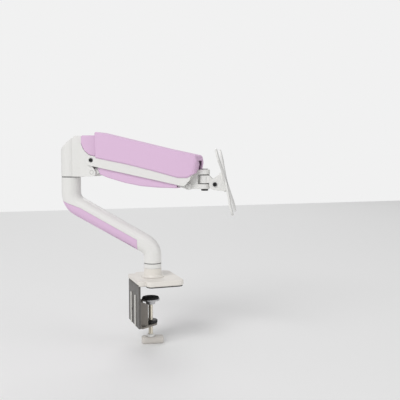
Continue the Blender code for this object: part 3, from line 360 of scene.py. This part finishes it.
WARM_ZINC = Finish("yellow_zinc_thread", (0.78, 0.73, 0.62), (0.60, 0.55, 0.45), (0.85, 0.84, 0.80),
                   Grain.BRUSHED, (0.24, 0.40), metallic=0.75, depth=8.0e-6, scale=400.0,
                   stretch=(0.2, 0.2, 4.0), edge=2.0e-4, dirt=0.3)
BRIGHT_STEEL = Finish("bright_steel", (0.58, 0.58, 0.585), (0.42, 0.42, 0.43), (0.75, 0.75, 0.75),
                      Grain.BRUSHED, (0.18, 0.34), metallic=1.0, depth=8.0e-6, scale=260.0,
                      stretch=(0.12, 0.12, 6.0), edge=3.0e-4)
BLACK_STEEL = Finish("black_oxide_steel", (0.022, 0.022, 0.024), (0.05, 0.045, 0.04),
                     (0.30, 0.29, 0.28), Grain.PEBBLE, (0.30, 0.46), metallic=0.5,
                     depth=1.0e-5, scale=1900.0, edge=3.0e-4, wear=0.5, dirt=0.3)
BLACK_RUBBER = Finish("black_rubber", (0.02, 0.02, 0.021), (0.06, 0.058, 0.055), (0.07, 0.07, 0.07),
                      Grain.PEBBLE, (0.72, 0.92), depth=5.0e-5, scale=1100.0, dirt=0.5,
                      specular=0.3)
DARK_NYLON = Finish("dark_nylon", (0.055, 0.055, 0.058), (0.09, 0.09, 0.09), (0.16, 0.16, 0.16),
                    Grain.STIPPLE, (0.5, 0.66), depth=1.4e-5, scale=1800.0, edge=2.0e-4)
PALE_GRIP = Finish("pale_grip", (0.66, 0.62, 0.56), (0.50, 0.46, 0.40), (0.78, 0.75, 0.70),
                   Grain.STIPPLE, (0.36, 0.52), depth=3.0e-5, scale=1300.0, wear=0.4, dirt=0.25)


# ---------------------------------------------------------------- modelling


class Shape:
    """A bmesh in metres, with the moves that the arm's pieces are made of."""

    def __init__(self) -> None:
        """Start with nothing."""
        self.mesh = bmesh.new()

    def spun(self, profile: Sequence[tuple[float, float]], steps: int = 48) -> "Shape":
        """Spin a profile about Z.

        Args:
            profile: (radius, height) points, in metres, that start and end on the axis.
            steps: how many faces go round.

        Returns:
            This shape.
        """
        verts = [self.mesh.verts.new((radius, 0.0, height)) for radius, height in profile]
        edges = [self.mesh.edges.new(pair) for pair in zip(verts, verts[1:])]
        bmesh.ops.spin(self.mesh, geom=verts + edges, axis=(0, 0, 1), cent=(0, 0, 0),
                       dvec=(0, 0, 0), angle=TURN, steps=steps, use_merge=True,
                       use_duplicate=False)
        return self.cleaned()

    def prism(self, sides: int, across: float, low: float, high: float,
              chamfer: float = 0.0) -> "Shape":
        """A prism about Z.

        Args:
            sides: how many flats it has.
            across: distance over two flats.
            low: its lower end.
            high: its upper end.
            chamfer: taken off the upper rim.

        Returns:
            This shape.
        """
        radius = across / 2 / math.cos(math.pi / sides)
        made = bmesh.ops.create_circle(self.mesh, cap_ends=True, segments=sides, radius=radius)
        bmesh.ops.translate(self.mesh, verts=made["verts"], vec=(0, 0, low))
        base = made["verts"][0].link_faces[0]
        top = bmesh.ops.extrude_face_region(self.mesh, geom=[base])
        moved = [v for v in top["geom"] if isinstance(v, bmesh.types.BMVert)]
        bmesh.ops.translate(self.mesh, verts=moved, vec=(0, 0, high - low))
        if chamfer > 0.0:
            rim = [e for e in self.mesh.edges if all(v in moved for v in e.verts)]
            self.rounded(rim, chamfer, 2)
        return self.cleaned()

    def rounded(self, edges: Iterable[bmesh.types.BMEdge], offset: float,
                segments: int = 3) -> "Shape":
        """Bevel edges.

        Args:
            edges: the edges.
            offset: the bevel's width.
            segments: its faces across.

        Returns:
            This shape.
        """
        bmesh.ops.bevel(self.mesh, geom=list(edges), offset=offset, segments=segments,
                        profile=0.5, affect="EDGES", material=-1, clamp_overlap=True)
        return self

    def sunk(self, face: bmesh.types.BMFace, inset: float, depth: float) -> bmesh.types.BMFace:
        """Inset a face and push it in.

        Args:
            face: the face.
            inset: width of the rim that stays.
            depth: how far the middle goes in.

        Returns:
            The sunk face.
        """
        bmesh.ops.inset_individual(self.mesh, faces=[face], thickness=inset, use_even_offset=True)
        inward = -face.normal.copy() * depth
        wall = bmesh.ops.extrude_discrete_faces(self.mesh, faces=[face])["faces"][0]
        bmesh.ops.translate(self.mesh, verts=list(wall.verts), vec=inward)
        return wall

    def cleaned(self) -> "Shape":
        """Weld doubles and turn every face outwards.

        Returns:
            This shape.
        """
        bmesh.ops.remove_doubles(self.mesh, verts=self.mesh.verts, dist=WELD)
        bmesh.ops.recalc_face_normals(self.mesh, faces=self.mesh.faces)
        return self

    def placed(self, point: Vector, axis: Vector) -> "Shape":
        """Stand the shape's Z along an axis at a point.

        Args:
            point: where the shape's origin goes.
            axis: where its Z goes.

        Returns:
            This shape.
        """
        turn = axis.normalized().to_track_quat("Z", "Y").to_matrix().to_4x4()
        bmesh.ops.transform(self.mesh, matrix=Matrix.Translation(point) @ turn,
                            verts=self.mesh.verts)
        return self

    def published(self, name: str, body: str, finish: Finish, slot: str,
                  stands_for: Sequence[str] = (), smooth: float = 32.0,
                  levels: int = 0) -> bpy.types.Object:
        """Make the piece's object, dress it and ride it on its body.

        Args:
            name: the piece's name.
            body: the CAD body it moves with.
            finish: its finish.
            slot: a material slot's name in the record; not used.
            stands_for: CAD nodes that it replaces.
            smooth: edges flatter than this, in degrees, are shaded smooth.
            levels: subdivision levels.

        Returns:
            The object.
        """
        data = bpy.data.meshes.new(name)
        self.mesh.to_mesh(data)
        self.mesh.free()
        data.shade_smooth()
        data.set_sharp_from_angle(angle=math.radians(smooth))
        data.materials.append(finish.build())
        piece = bpy.data.objects.new(name, data)
        bpy.context.scene.collection.objects.link(piece)
        if levels:
            step = piece.modifiers.new("subdivision", "SUBSURF")
            step.levels = step.render_levels = levels
        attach(piece, body)
        if stands_for:
            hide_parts(*stands_for)
        log.info("%s: %d faces, rides on %s", name, len(data.polygons), body)
        return piece


def node_span(node: str, point: Vector, axis: Vector) -> tuple[float, float]:
    """How far a CAD node reaches along an axis.

    Args:
        node: the node's name.
        point: where the axis is measured from.
        axis: its direction.

    Returns:
        The lowest and highest distance along the axis.
    """
    reach = [(v.co - point).dot(axis) for v in frame["nodes"][node].data.vertices]
    return min(reach), max(reach)


def node_middle(node: str) -> Vector:
    """The middle of a CAD node's box."""
    low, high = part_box(node)
    return (Vector(low) + Vector(high)) / 2


def joint_axis(name: str) -> tuple[Vector, Vector]:
    """A joint's point and direction at rest.

    Args:
        name: the joint's name.

    Returns:
        The point and the unit direction.
    """
    joint = next(j for j in frame["joints"] if j["name"] == name)
    return Vector(joint["pos_m"]), Vector(joint["axis"]).normalized()


# ---------------------------------------------------------------- sub-assemblies


@dataclass
class SocketScrew:
    """A black screw with a hex socket in a round head, sizes in metres."""

    name: str
    node: str
    body: str
    shank: float
    head: float
    height: float
    key: float                # across the socket's flats
    dome: float = 0.0

    def build(self, point: Vector, outward: Vector) -> bpy.types.Object:
        """Build the screw on its CAD node's axis.

        Args:
            point: a point on the axis.
            outward: the way the head faces.

        Returns:
            The piece.
        """
        low, high = node_span(self.node, point, outward)
        shape = Shape()
        shape.prism(24, self.head * 2, high - self.height, high)
        cap = max(shape.mesh.faces, key=lambda f: f.calc_center_median().z)
        socket = self.key / math.sqrt(3)
        if self.dome:
            bmesh.ops.inset_individual(shape.mesh, faces=[cap],
                                       thickness=self.head - socket * 1.45)
            rim = [v for v in shape.mesh.verts
                   if v.co.z > high - WELD and v.co.xy.length > self.head * 0.9]
            bmesh.ops.translate(shape.mesh, verts=rim, vec=(0, 0, -self.dome))
        else:
            shape.rounded(cap.edges, self.height * 0.16, 2)
        flat = max(shape.mesh.faces, key=lambda f: (round(f.calc_center_median().z, 7),
                                                    len(f.verts)))
        self._socket(shape, flat, socket)
        foot = min(shape.mesh.faces, key=lambda f: f.calc_center_median().z)
        bmesh.ops.inset_individual(shape.mesh, faces=[foot], thickness=self.head - self.shank)
        shaft = bmesh.ops.extrude_discrete_faces(shape.mesh, faces=[foot])["faces"][0]
        bmesh.ops.translate(shape.mesh, verts=list(shaft.verts),
                            vec=(0, 0, low - (high - self.height)))
        shape.cleaned().placed(point, outward)
        return shape.published(self.name, self.body, BLACK_STEEL, "black_steel", (self.node,))

    def _socket(self, shape: Shape, flat: bmesh.types.BMFace, radius: float) -> None:
        """Sink a hex socket in the head's flat face.

        Args:
            shape: the screw.
            flat: the face.
            radius: of the socket's corners.
        """
        reach = max(v.co.xy.length for v in flat.verts)
        bmesh.ops.inset_individual(shape.mesh, faces=[flat], thickness=reach - radius)
        flats = 6
        wedge = TURN / flats
        for vert in flat.verts:
            angle = math.atan2(vert.co.y, vert.co.x) % wedge - wedge / 2
            edge = radius * math.cos(wedge / 2) / math.cos(angle)
            vert.co.xy = vert.co.xy.normalized() * edge
        wall = bmesh.ops.extrude_discrete_faces(shape.mesh, faces=[flat])["faces"][0]
        bmesh.ops.translate(shape.mesh, verts=list(wall.verts), vec=(0, 0, -radius * 1.1))


@dataclass
class HexNut:
    """A hex nut with chamfered corners and perhaps a round collar, sizes in metres."""

    name: str
    node: str
    body: str
    bore: float
    across: float
    collar: float = 0.0       # height of a round collar on the outer side
    chamfer: float = 0.0007   # height of the corners' chamfer

    def build(self, point: Vector, outward: Vector) -> bpy.types.Object:
        """Build the nut on its CAD node's axis.

        Args:
            point: a point on the axis.
            outward: the side that shows.

        Returns:
            The piece.
        """
        low, high = node_span(self.node, point, outward)
        top = high - self.collar
        radius = self.across / 2
        shape = Shape()
        shape.prism(6, self.across, low, top)
        keep = Shape()
        keep.spun([(0.0, low - MM), (radius * 1.02, low - MM),
                   (radius * 1.16, low + self.chamfer), (radius * 1.16, top - self.chamfer),
                   (radius * 1.0, top), (0.0, top)], 48)
        hole = Shape().spun([(0.0, low - MM), (self.bore, low - MM), (self.bore, high + MM),
                             (0.0, high + MM)], 32)
        ring = Shape().spun([(0.0, low + MM), (radius * 0.86, low + MM),
                             (radius * 0.86, high - 0.0005), (radius * 0.72, high),
                             (0.0, high)], 40)
        steps = [("INTERSECT", keep), ("DIFFERENCE", hole)]
        if self.collar:
            steps.insert(1, ("UNION", ring))
        else:
            ring.mesh.free()
        solid = carved(shape, steps)
        solid.placed(point, outward)
        return solid.published(self.name, self.body, BLACK_STEEL, "black_steel", (self.node,))


def carved(shape: Shape, steps: Sequence[tuple[str, Shape]]) -> Shape:
    """Apply exact Booleans to a shape and return the result as a new shape.

    Args:
        shape: what is cut or joined; it is used up.
        steps: (operation, tool) pairs in order; the tools are used up.

    Returns:
        The result.
    """
    spare = []

    def solid(part: Shape, name: str) -> bpy.types.Object:
        """Make a throwaway object of a shape.

        Args:
            part: the shape; it is used up.
            name: the object's name.

        Returns:
            The object.
        """
        data = bpy.data.meshes.new(name)
        part.mesh.to_mesh(data)
        part.mesh.free()
        item = bpy.data.objects.new(name, data)
        bpy.context.scene.collection.objects.link(item)
        spare.append(item)
        return item

    base = solid(shape, "work")
    for operation, tool in steps:
        step = base.modifiers.new(operation, "BOOLEAN")
        step.operation = operation
        step.solver = "EXACT"
        step.object = solid(tool, "work_tool")
    bpy.context.view_layer.update()
    graph = bpy.context.evaluated_depsgraph_get()
    result = Shape()
    result.mesh.from_mesh(base.evaluated_get(graph).to_mesh())
    for item in spare:
        data = item.data
        bpy.data.objects.remove(item, do_unlink=True)
        bpy.data.meshes.remove(data)
    bmesh.ops.remove_doubles(result.mesh, verts=result.mesh.verts, dist=WELD)
    return result


@dataclass
class ClampScrew:
    """The clamp's rolled-thread screw, its handle and its foot pad, sizes in metres."""

    radius: float = 0.0042
    pitch: float = 0.0020
    thread: float = 0.00075
    steps: int = 32
    rib: float = 0.0009       # depth of the pad's grooves
    ribs: int = 6

    def build(self) -> list[bpy.types.Object]:
        """Build the screw, the handle and the foot pad.

        Returns:
            The pieces.
        """
        return [self.screw(), self.handle(), self.pad()]

    def screw(self) -> bpy.types.Object:
        """The threaded rod: a zigzag flank spun once with a rise of one pitch.

        Returns:
            The piece.
        """
        low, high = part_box("clamp_screw")
        middle = node_middle("clamp_screw")
        shape = Shape()
        start = low[2] - 2 * self.pitch
        turns = math.ceil((high[2] - start) / self.pitch) + 1
        flank = ((0.0, self.radius - self.thread), (0.18, self.radius - self.thread),
                 (0.44, self.radius), (0.62, self.radius))
        verts = []
        for turn in range(turns):
            for share, radius in flank:
                height = start + (turn + share) * self.pitch
                verts.append(shape.mesh.verts.new((radius, 0.0, height)))
        edges = [shape.mesh.edges.new(pair) for pair in zip(verts, verts[1:])]
        bmesh.ops.spin(shape.mesh, geom=verts + edges, axis=(0, 0, 1), cent=(0, 0, 0),
                       dvec=(0, 0, self.pitch / self.steps), angle=TURN, steps=self.steps,
                       use_merge=False, use_duplicate=False)
        bmesh.ops.remove_doubles(shape.mesh, verts=shape.mesh.verts, dist=1e-5)
        for level, side in ((low[2], -1), (high[2], 1)):
            everything = shape.mesh.verts[:] + shape.mesh.edges[:] + shape.mesh.faces[:]
            cut = bmesh.ops.bisect_plane(shape.mesh, geom=everything, dist=WELD,
                                         plane_co=(0, 0, level), plane_no=(0, 0, side),
                                         clear_outer=True)
            rim = [e for e in cut["geom_cut"] if isinstance(e, bmesh.types.BMEdge)]
            bmesh.ops.holes_fill(shape.mesh, edges=rim, sides=0)
        shape.cleaned()
        bmesh.ops.translate(shape.mesh, verts=shape.mesh.verts, vec=(middle.x, middle.y, 0))
        return shape.published("threaded_screw", "clamp_screw", WARM_ZINC, "bright_steel",
                               ("clamp_screw",), smooth=50.0)

    def handle(self) -> bpy.types.Object:
        """The tee handle: the CAD's shape, welded so that it shades smoothly.

        Returns:
            The piece.
        """
        node = frame["nodes"]["clamp_handle"]
        shape = Shape()
        shape.mesh.from_mesh(node.data)
        bmesh.ops.remove_doubles(shape.mesh, verts=shape.mesh.verts, dist=1e-5)
        bmesh.ops.dissolve_limit(shape.mesh, angle_limit=math.radians(1.0),
                                 verts=shape.mesh.verts, edges=shape.mesh.edges)
        return shape.published("tee_handle", "clamp_screw", PALE_GRIP, "pale_grip",
                               ("clamp_handle",), smooth=50.0)

    def pad(self) -> bpy.types.Object:
        """The foot's rubber pad, ribbed where it meets the desk.

        Returns:
            The piece.
        """
        low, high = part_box("foot_pad")
        middle = node_middle("foot_pad")
        radius = (high[0] - low[0]) / 2
        profile = [(0.0, low[2]), (radius - 0.0004, low[2]), (radius, low[2] + 0.0004),
                   (radius, high[2] - 0.0010), (radius - 0.0010, high[2])]
        width = (radius - 0.0015) / self.ribs
        for k in range(self.ribs, 1, -1):
            outer = width * k
            profile += [(outer, high[2]), (outer - width * 0.25, high[2] - self.rib),
                        (outer - width * 0.55, high[2] - self.rib), (outer - width * 0.8, high[2])]
        profile += [(0.0, high[2])]
        shape = Shape().spun(profile, 56)
        bmesh.ops.translate(shape.mesh, verts=shape.mesh.verts, vec=(middle.x, middle.y, 0))
        return shape.published("ribbed_pad", "clamp_foot", BLACK_RUBBER, "black_rubber",
                               ("foot_pad",))


@dataclass
class GripBush:
    """The fluted bush that the clamp screw runs in, sizes in metres."""

    flutes: int = 24
    depth: float = 0.0007
    edge: float = 0.0009      # chamfer of both rims
    running: float = 0.00035  # gap round the screw

    def build(self) -> bpy.types.Object:
        """Build the bush.

        Returns:
            The piece.
        """
        low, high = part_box("screw_bush")
        middle = node_middle("screw_bush")
        radius = (high[0] - low[0]) / 2
        bore = ClampScrew.radius + self.running
        edge = self.edge
        shape = Shape().spun([(bore, low[2]), (radius - edge, low[2]), (radius, low[2] + edge),
                              (radius, high[2] - edge), (radius - edge, high[2]),
                              (bore, high[2]), (bore, low[2])], self.flutes * 4)
        for vert in shape.mesh.verts:
            reach = vert.co.xy.length
            if reach < radius - edge * 1.5:
                continue
            wave = 0.5 - 0.5 * math.cos(math.atan2(vert.co.y, vert.co.x) * self.flutes)
            vert.co.xy = vert.co.xy.normalized() * (reach - self.depth * wave)
        bmesh.ops.translate(shape.mesh, verts=shape.mesh.verts, vec=(middle.x, middle.y, 0))
        return shape.published("fluted_bush", "clamp_and_base", BLACK_STEEL, "black_steel",
                               ("screw_bush",))


def along(axis: Vector, point: Vector, node: str) -> Vector:
    """The way along an axis from a point to a node."""
    return axis if (node_middle(node) - point).dot(axis) > 0 else -axis


def head_side(node: str, point: Vector, axis: Vector, shank: float) -> Vector:
    """The way that a screw's head faces.

    Args:
        node: the screw's CAD node.
        point: a point on its axis.
        axis: the axis.
        shank: a radius that only the head goes beyond.

    Returns:
        The direction.
    """
    for vert in frame["nodes"][node].data.vertices:
        arm = vert.co - point
        reach = arm.dot(axis)
        if (arm - axis * reach).length > shank:
            return axis if reach > 0 else -axis
    return axis


class SubAssembly:
    """Some of the arm's pieces, with the finish of each CAD node among them."""

    FINISHES: ClassVar[Mapping[Finish, tuple[str, ...]]] = {}

    def build(self) -> list[bpy.types.Object]:
        """Dress the CAD nodes and build the new pieces.

        Returns:
            The new pieces.
        """
        for finish, nodes in self.FINISHES.items():
            for node in nodes:
                self._paint(frame["nodes"][node], finish)
                log.info("%s: %s", node, finish.name)
        return self.pieces()

    def pieces(self) -> list[bpy.types.Object]:
        """Build the new pieces, of which there are none here."""
        return []

    @staticmethod
    def _paint(item: bpy.types.Object, finish: Finish) -> None:
        """Give one CAD object a finish in all its slots.

        Args:
            item: the node's object.
            finish: the finish.
        """
        if not item.material_slots:
            item.data.materials.append(finish.build())
        for slot in item.material_slots:
            slot.material = finish.build()


@dataclass
class Clamp(SubAssembly):
    """The desk clamp: its bent steel, its screw and its foot, sizes in metres."""

    nut_bore: float = 0.0031
    nut_across: float = 0.0098

    FINISHES: ClassVar[Mapping[Finish, tuple[str, ...]]] = {
        GREY_STEEL: ("clamp_bracket",),
        JAW_STEEL: ("clamp_jaw",),
        # wall rails: zinc with a painted highlight in its colour
        RAIL_ZINC_PAINTED_HIGHLIGHT: ("wall_rail_near", "wall_rail_far"),
        BLACK_STEEL: ("jaw_bolt_near", "jaw_bolt_far"),
        BLACK_RUBBER: ("desk_pad",),
        BRIGHT_STEEL: ("foot_plate",),
        WHITE_PAINT: ("handle_collar",),
    }

    def pieces(self) -> list[bpy.types.Object]:
        """Build the screw, handle, pad, bush and the jaw's nuts.

        Returns:
            The pieces.
        """
        made = [*ClampScrew().build(), GripBush().build()]
        for side in ("near", "far"):
            node = "jaw_nut_" + side
            nut = HexNut(f"jaw_hex_nut_{side}", node, "clamp_and_base", self.nut_bore,
                         self.nut_across)
            made.append(nut.build(node_middle(node), Vector((1, 0, 0))))
        return made


@dataclass
class Base(SubAssembly):
    """The base's cover and the post."""

    FINISHES: ClassVar[Mapping[Finish, tuple[str, ...]]] = {
        # base cover and foot collar: white paint with a painted warm reflection in its colour
        REFLECTION_TINTED_WHITE_PAINT: ("base_cover", "foot_collar"),
        WHITE_PAINT: ("stop_ring",),
        BRIGHT_STEEL: ("post_shaft",),
        BLACK_STEEL: ("post_bolt",),
        DARK_NYLON: ("post_washer",),
    }


@dataclass
class LowerArm(SubAssembly):
    """The bent lower arm with its cable cover, sizes in metres."""

    screw_shank: float = 0.0026
    screw_head: float = 0.0030
    screw_height: float = 0.0050
    screw_key: float = 0.0030

    FINISHES: ClassVar[Mapping[Finish, tuple[str, ...]]] = {
        WHITE_PAINT: ("lower_arm",),
        LILAC_PLASTIC: ("cable_cover",),
        BRIGHT_STEEL: ("elbow_pin",),
        DARK_NYLON: ("post_bush", "elbow_washer"),
    }

    def pieces(self) -> list[bpy.types.Object]:
        """Build the friction screw at the post.

        Returns:
            The pieces.
        """
        middle, post = node_middle("friction_screw"), joint_axis("base_swivel")[0]
        outward = Vector((middle.x - post.x, middle.y - post.y, 0)).normalized()
        screw = SocketScrew("friction_set_screw", "friction_screw", "lower_arm",
                            self.screw_shank, self.screw_head, self.screw_height,
                            self.screw_key)
        return [screw.build(middle, outward)]


@dataclass
class Hub(SubAssembly):
    """The hub on the elbow, with the strut's anchor, sizes in metres."""

    button_shank: float = 0.0019
    button_head: float = 0.0033
    button_height: float = 0.0015
    button_key: float = 0.0021
    button_dome: float = 0.0005
    tension_shank: float = 0.0029
    tension_head: float = 0.0050
    tension_height: float = 0.0042
    tension_key: float = 0.0040

    FINISHES: ClassVar[Mapping[Finish, tuple[str, ...]]] = {
        WHITE_PAINT: ("hub", "link_pin_near", "link_pin_far"),
        LILAC_PLASTIC: ("hub_shroud",),
        BRIGHT_ZINC: ("tension_block",),
        BRIGHT_STEEL: ("lift_pin", "strut_rear_pin"),
        DARK_NYLON: ("elbow_bush",),
    }

    def pieces(self) -> list[bpy.types.Object]:
        """Build the lift pin's two button screws and the tension screw.

        Returns:
            The pieces.
        """
        made = []
        lift, axis = joint_axis("arm_lift")
        for side in ("near", "far"):
            node = "lift_screw_" + side
            screw = SocketScrew(f"button_screw_{side}", node, "hub", self.button_shank,
                                self.button_head, self.button_height, self.button_key,
                                dome=self.button_dome)
            made.append(screw.build(lift, along(axis, lift, node)))
        screw = SocketScrew("tension_cap_screw", "tension_screw", "hub", self.tension_shank,
                            self.tension_head, self.tension_height, self.tension_key)
        made.append(screw.build(node_middle("tension_screw"), Vector((0, 0, 1))))
        return made


@dataclass
class UpperArm(SubAssembly):
    """The parallelogram's beam and link, their covers and the gas strut."""

    FINISHES: ClassVar[Mapping[Finish, tuple[str, ...]]] = {
        WHITE_PAINT: ("beam", "lower_link"),
        LILAC_PLASTIC: ("upper_cover", "lower_cover"),
        BRIGHT_STEEL: ("front_pin", "strut_front_pin", "strut_rod"),
        BLACK_STEEL: ("strut_tube",),
    }


@dataclass
class Head(SubAssembly):
    """The level knuckle, the pan and tilt joints and the plate, sizes in metres."""

    bolt_shank: float = 0.0024
    bolt_head: float = 0.0037
    bolt_height: float = 0.0024
    bolt_key: float = 0.0028
    bolt_clear: float = 0.0030           # between the bolt's shank and its head
    tilt_nut: tuple[float, float, float] = (0.0027, 0.0092, 0.0010)    # bore, flats, collar
    swivel_nut: tuple[float, float] = (0.0041, 0.0112)                 # bore, flats
    spindle_nut: tuple[float, float] = (0.0052, 0.0130)

    FINISHES: ClassVar[Mapping[Finish, tuple[str, ...]]] = {
        WHITE_PAINT: ("knuckle", "neck", "tilt_bracket", "vesa_plate", "link_front_pin"),
        BRIGHT_STEEL: ("swivel_pin", "plate_spindle"),
        DARK_NYLON: ("swivel_washer_upper", "swivel_washer_lower"),
    }

    def pieces(self) -> list[bpy.types.Object]:
        """Build the tilt bolt and the head's three nuts.

        Returns:
            The pieces.
        """
        tilt, tilt_axis = joint_axis("head_tilt")
        bolt = SocketScrew("tilt_cap_screw", "tilt_bolt", "tilt_bracket", self.bolt_shank,
                           self.bolt_head, self.bolt_height, self.bolt_key)
        made = [bolt.build(tilt, head_side("tilt_bolt", tilt, tilt_axis, self.bolt_clear))]
        nut = HexNut("tilt_lock_nut", "tilt_nut", "tilt_bracket", *self.tilt_nut)
        made.append(nut.build(tilt, along(tilt_axis, tilt, "tilt_nut")))
        nut = HexNut("swivel_lock_nut", "swivel_nut", "knuckle", *self.swivel_nut)
        made.append(nut.build(joint_axis("head_pan")[0], Vector((0, 0, -1))))
        middle, axis = node_middle("spindle_nut"), joint_axis("plate_turn")[1]
        nut = HexNut("spindle_lock_nut", "spindle_nut", "head_plate", *self.spindle_nut)
        made.append(nut.build(middle, -along(axis, middle, "plate_spindle")))
        return made


# ---------------------------------------------------------------- studio


@dataclass
class Studio:
    """The floor, the soft lights and the camera, in metres and watts."""

    floor_size: float = 6.0
    camera: Point = (-0.29630, -1.08265, 0.23452)
    yaw: float = 19.866          # degrees, towards +X from +Y
    pitch: float = -4.002        # degrees
    focal: float = 599.8         # where the picture is 400 wide
    picture: float = 400.0
    sensor: float = 36.0         # width in millimetres
    surround: float = 0.44       # light from the surround
    backdrop: float = 0.88       # how bright it looks

    def build(self) -> None:
        """Build all of it."""
        view = bpy.context.scene.view_settings
        view.view_transform = "Standard"
        view.look = "None"
        self.floor()
        self.sky()
        self.lamp("key", (-3.8, -2.8, 3.8), 3.0, 180.0)
        self.lamp("fill", (3.8, -3.5, 1.6), 3.4, 54.0)
        self.lamp("back", (1.0, 4.2, 3.6), 3.0, 60.0)
        self.view()

    def floor(self) -> None:
        """A plain pale floor under the lowest piece."""
        shape = bmesh.new()
        bmesh.ops.create_grid(shape, x_segments=1, y_segments=1, size=self.floor_size / 2)
        bmesh.ops.translate(shape, verts=shape.verts, vec=(0, 0, CAD_BOX[0][2] - 0.0005))
        data = bpy.data.meshes.new("floor")
        shape.to_mesh(data)
        shape.free()
        plain = bpy.data.materials.new("pale_floor")
        plain.use_nodes = True
        shader = plain.node_tree.nodes["Principled BSDF"]
        shader.inputs["Base Color"].default_value = (0.86, 0.86, 0.86, 1.0)
        shader.inputs["Roughness"].default_value = 0.8
        data.materials.append(plain)
        item = bpy.data.objects.new("floor", data)
        bpy.context.scene.collection.objects.link(item)

    def sky(self) -> None:
        """An even white surround, dimmer as a light than it looks."""
        world = bpy.data.worlds.new("studio")
        world.use_nodes = True
        tree = world.node_tree
        light = tree.nodes["Background"]
        light.inputs["Color"].default_value = (1.0, 1.0, 1.0, 1.0)
        light.inputs["Strength"].default_value = self.surround
        seen = tree.nodes.new("ShaderNodeBackground")
        seen.inputs["Strength"].default_value = self.backdrop
        seen.inputs["Color"].default_value = (1.0, 1.0, 1.0, 1.0)
        path = tree.nodes.new("ShaderNodeLightPath")
        mix = tree.nodes.new("ShaderNodeMixShader")
        tree.links.new(path.outputs["Is Camera Ray"], mix.inputs[0])
        tree.links.new(light.outputs[0], mix.inputs[1])
        tree.links.new(seen.outputs[0], mix.inputs[2])
        tree.links.new(mix.outputs[0], tree.nodes["World Output"].inputs["Surface"])
        bpy.context.scene.world = world

    def lamp(self, name: str, place: Point, size: float, power: float) -> None:
        """A soft area light aimed at the arm.

        Args:
            name: the light's name.
            place: where it hangs.
            size: of its square.
            power: in watts.
        """
        data = bpy.data.lights.new(name, "AREA")
        data.size = size
        data.energy = power
        item = bpy.data.objects.new(name, data)
        item.location = place
        aim = Vector((0.0, 0.0, 0.1)) - Vector(place)
        item.rotation_euler = aim.to_track_quat("-Z", "Y").to_euler()
        bpy.context.scene.collection.objects.link(item)

    def view(self) -> None:
        """The camera."""
        data = bpy.data.cameras.new("camera")
        data.sensor_width = self.sensor
        data.lens = self.focal * self.sensor / self.picture
        data.clip_start, data.clip_end = 0.01, 30.0
        item = bpy.data.objects.new("camera", data)
        item.location = self.camera
        item.rotation_euler = (math.radians(90.0 + self.pitch), 0.0, -math.radians(self.yaw))
        bpy.context.scene.collection.objects.link(item)
        bpy.context.scene.camera = item


def main() -> None:
    """Build the arm's looks in order."""
    logging.basicConfig(level=logging.INFO, format="%(name)s: %(message)s")
    for assembly in (Clamp(), Base(), LowerArm(), Hub(), UpperArm(), Head()):
        made = assembly.build()
        log.info("%s: %d new pieces", type(assembly).__name__, len(made))
    Studio().build()


if __name__ == "__main__":
    main()
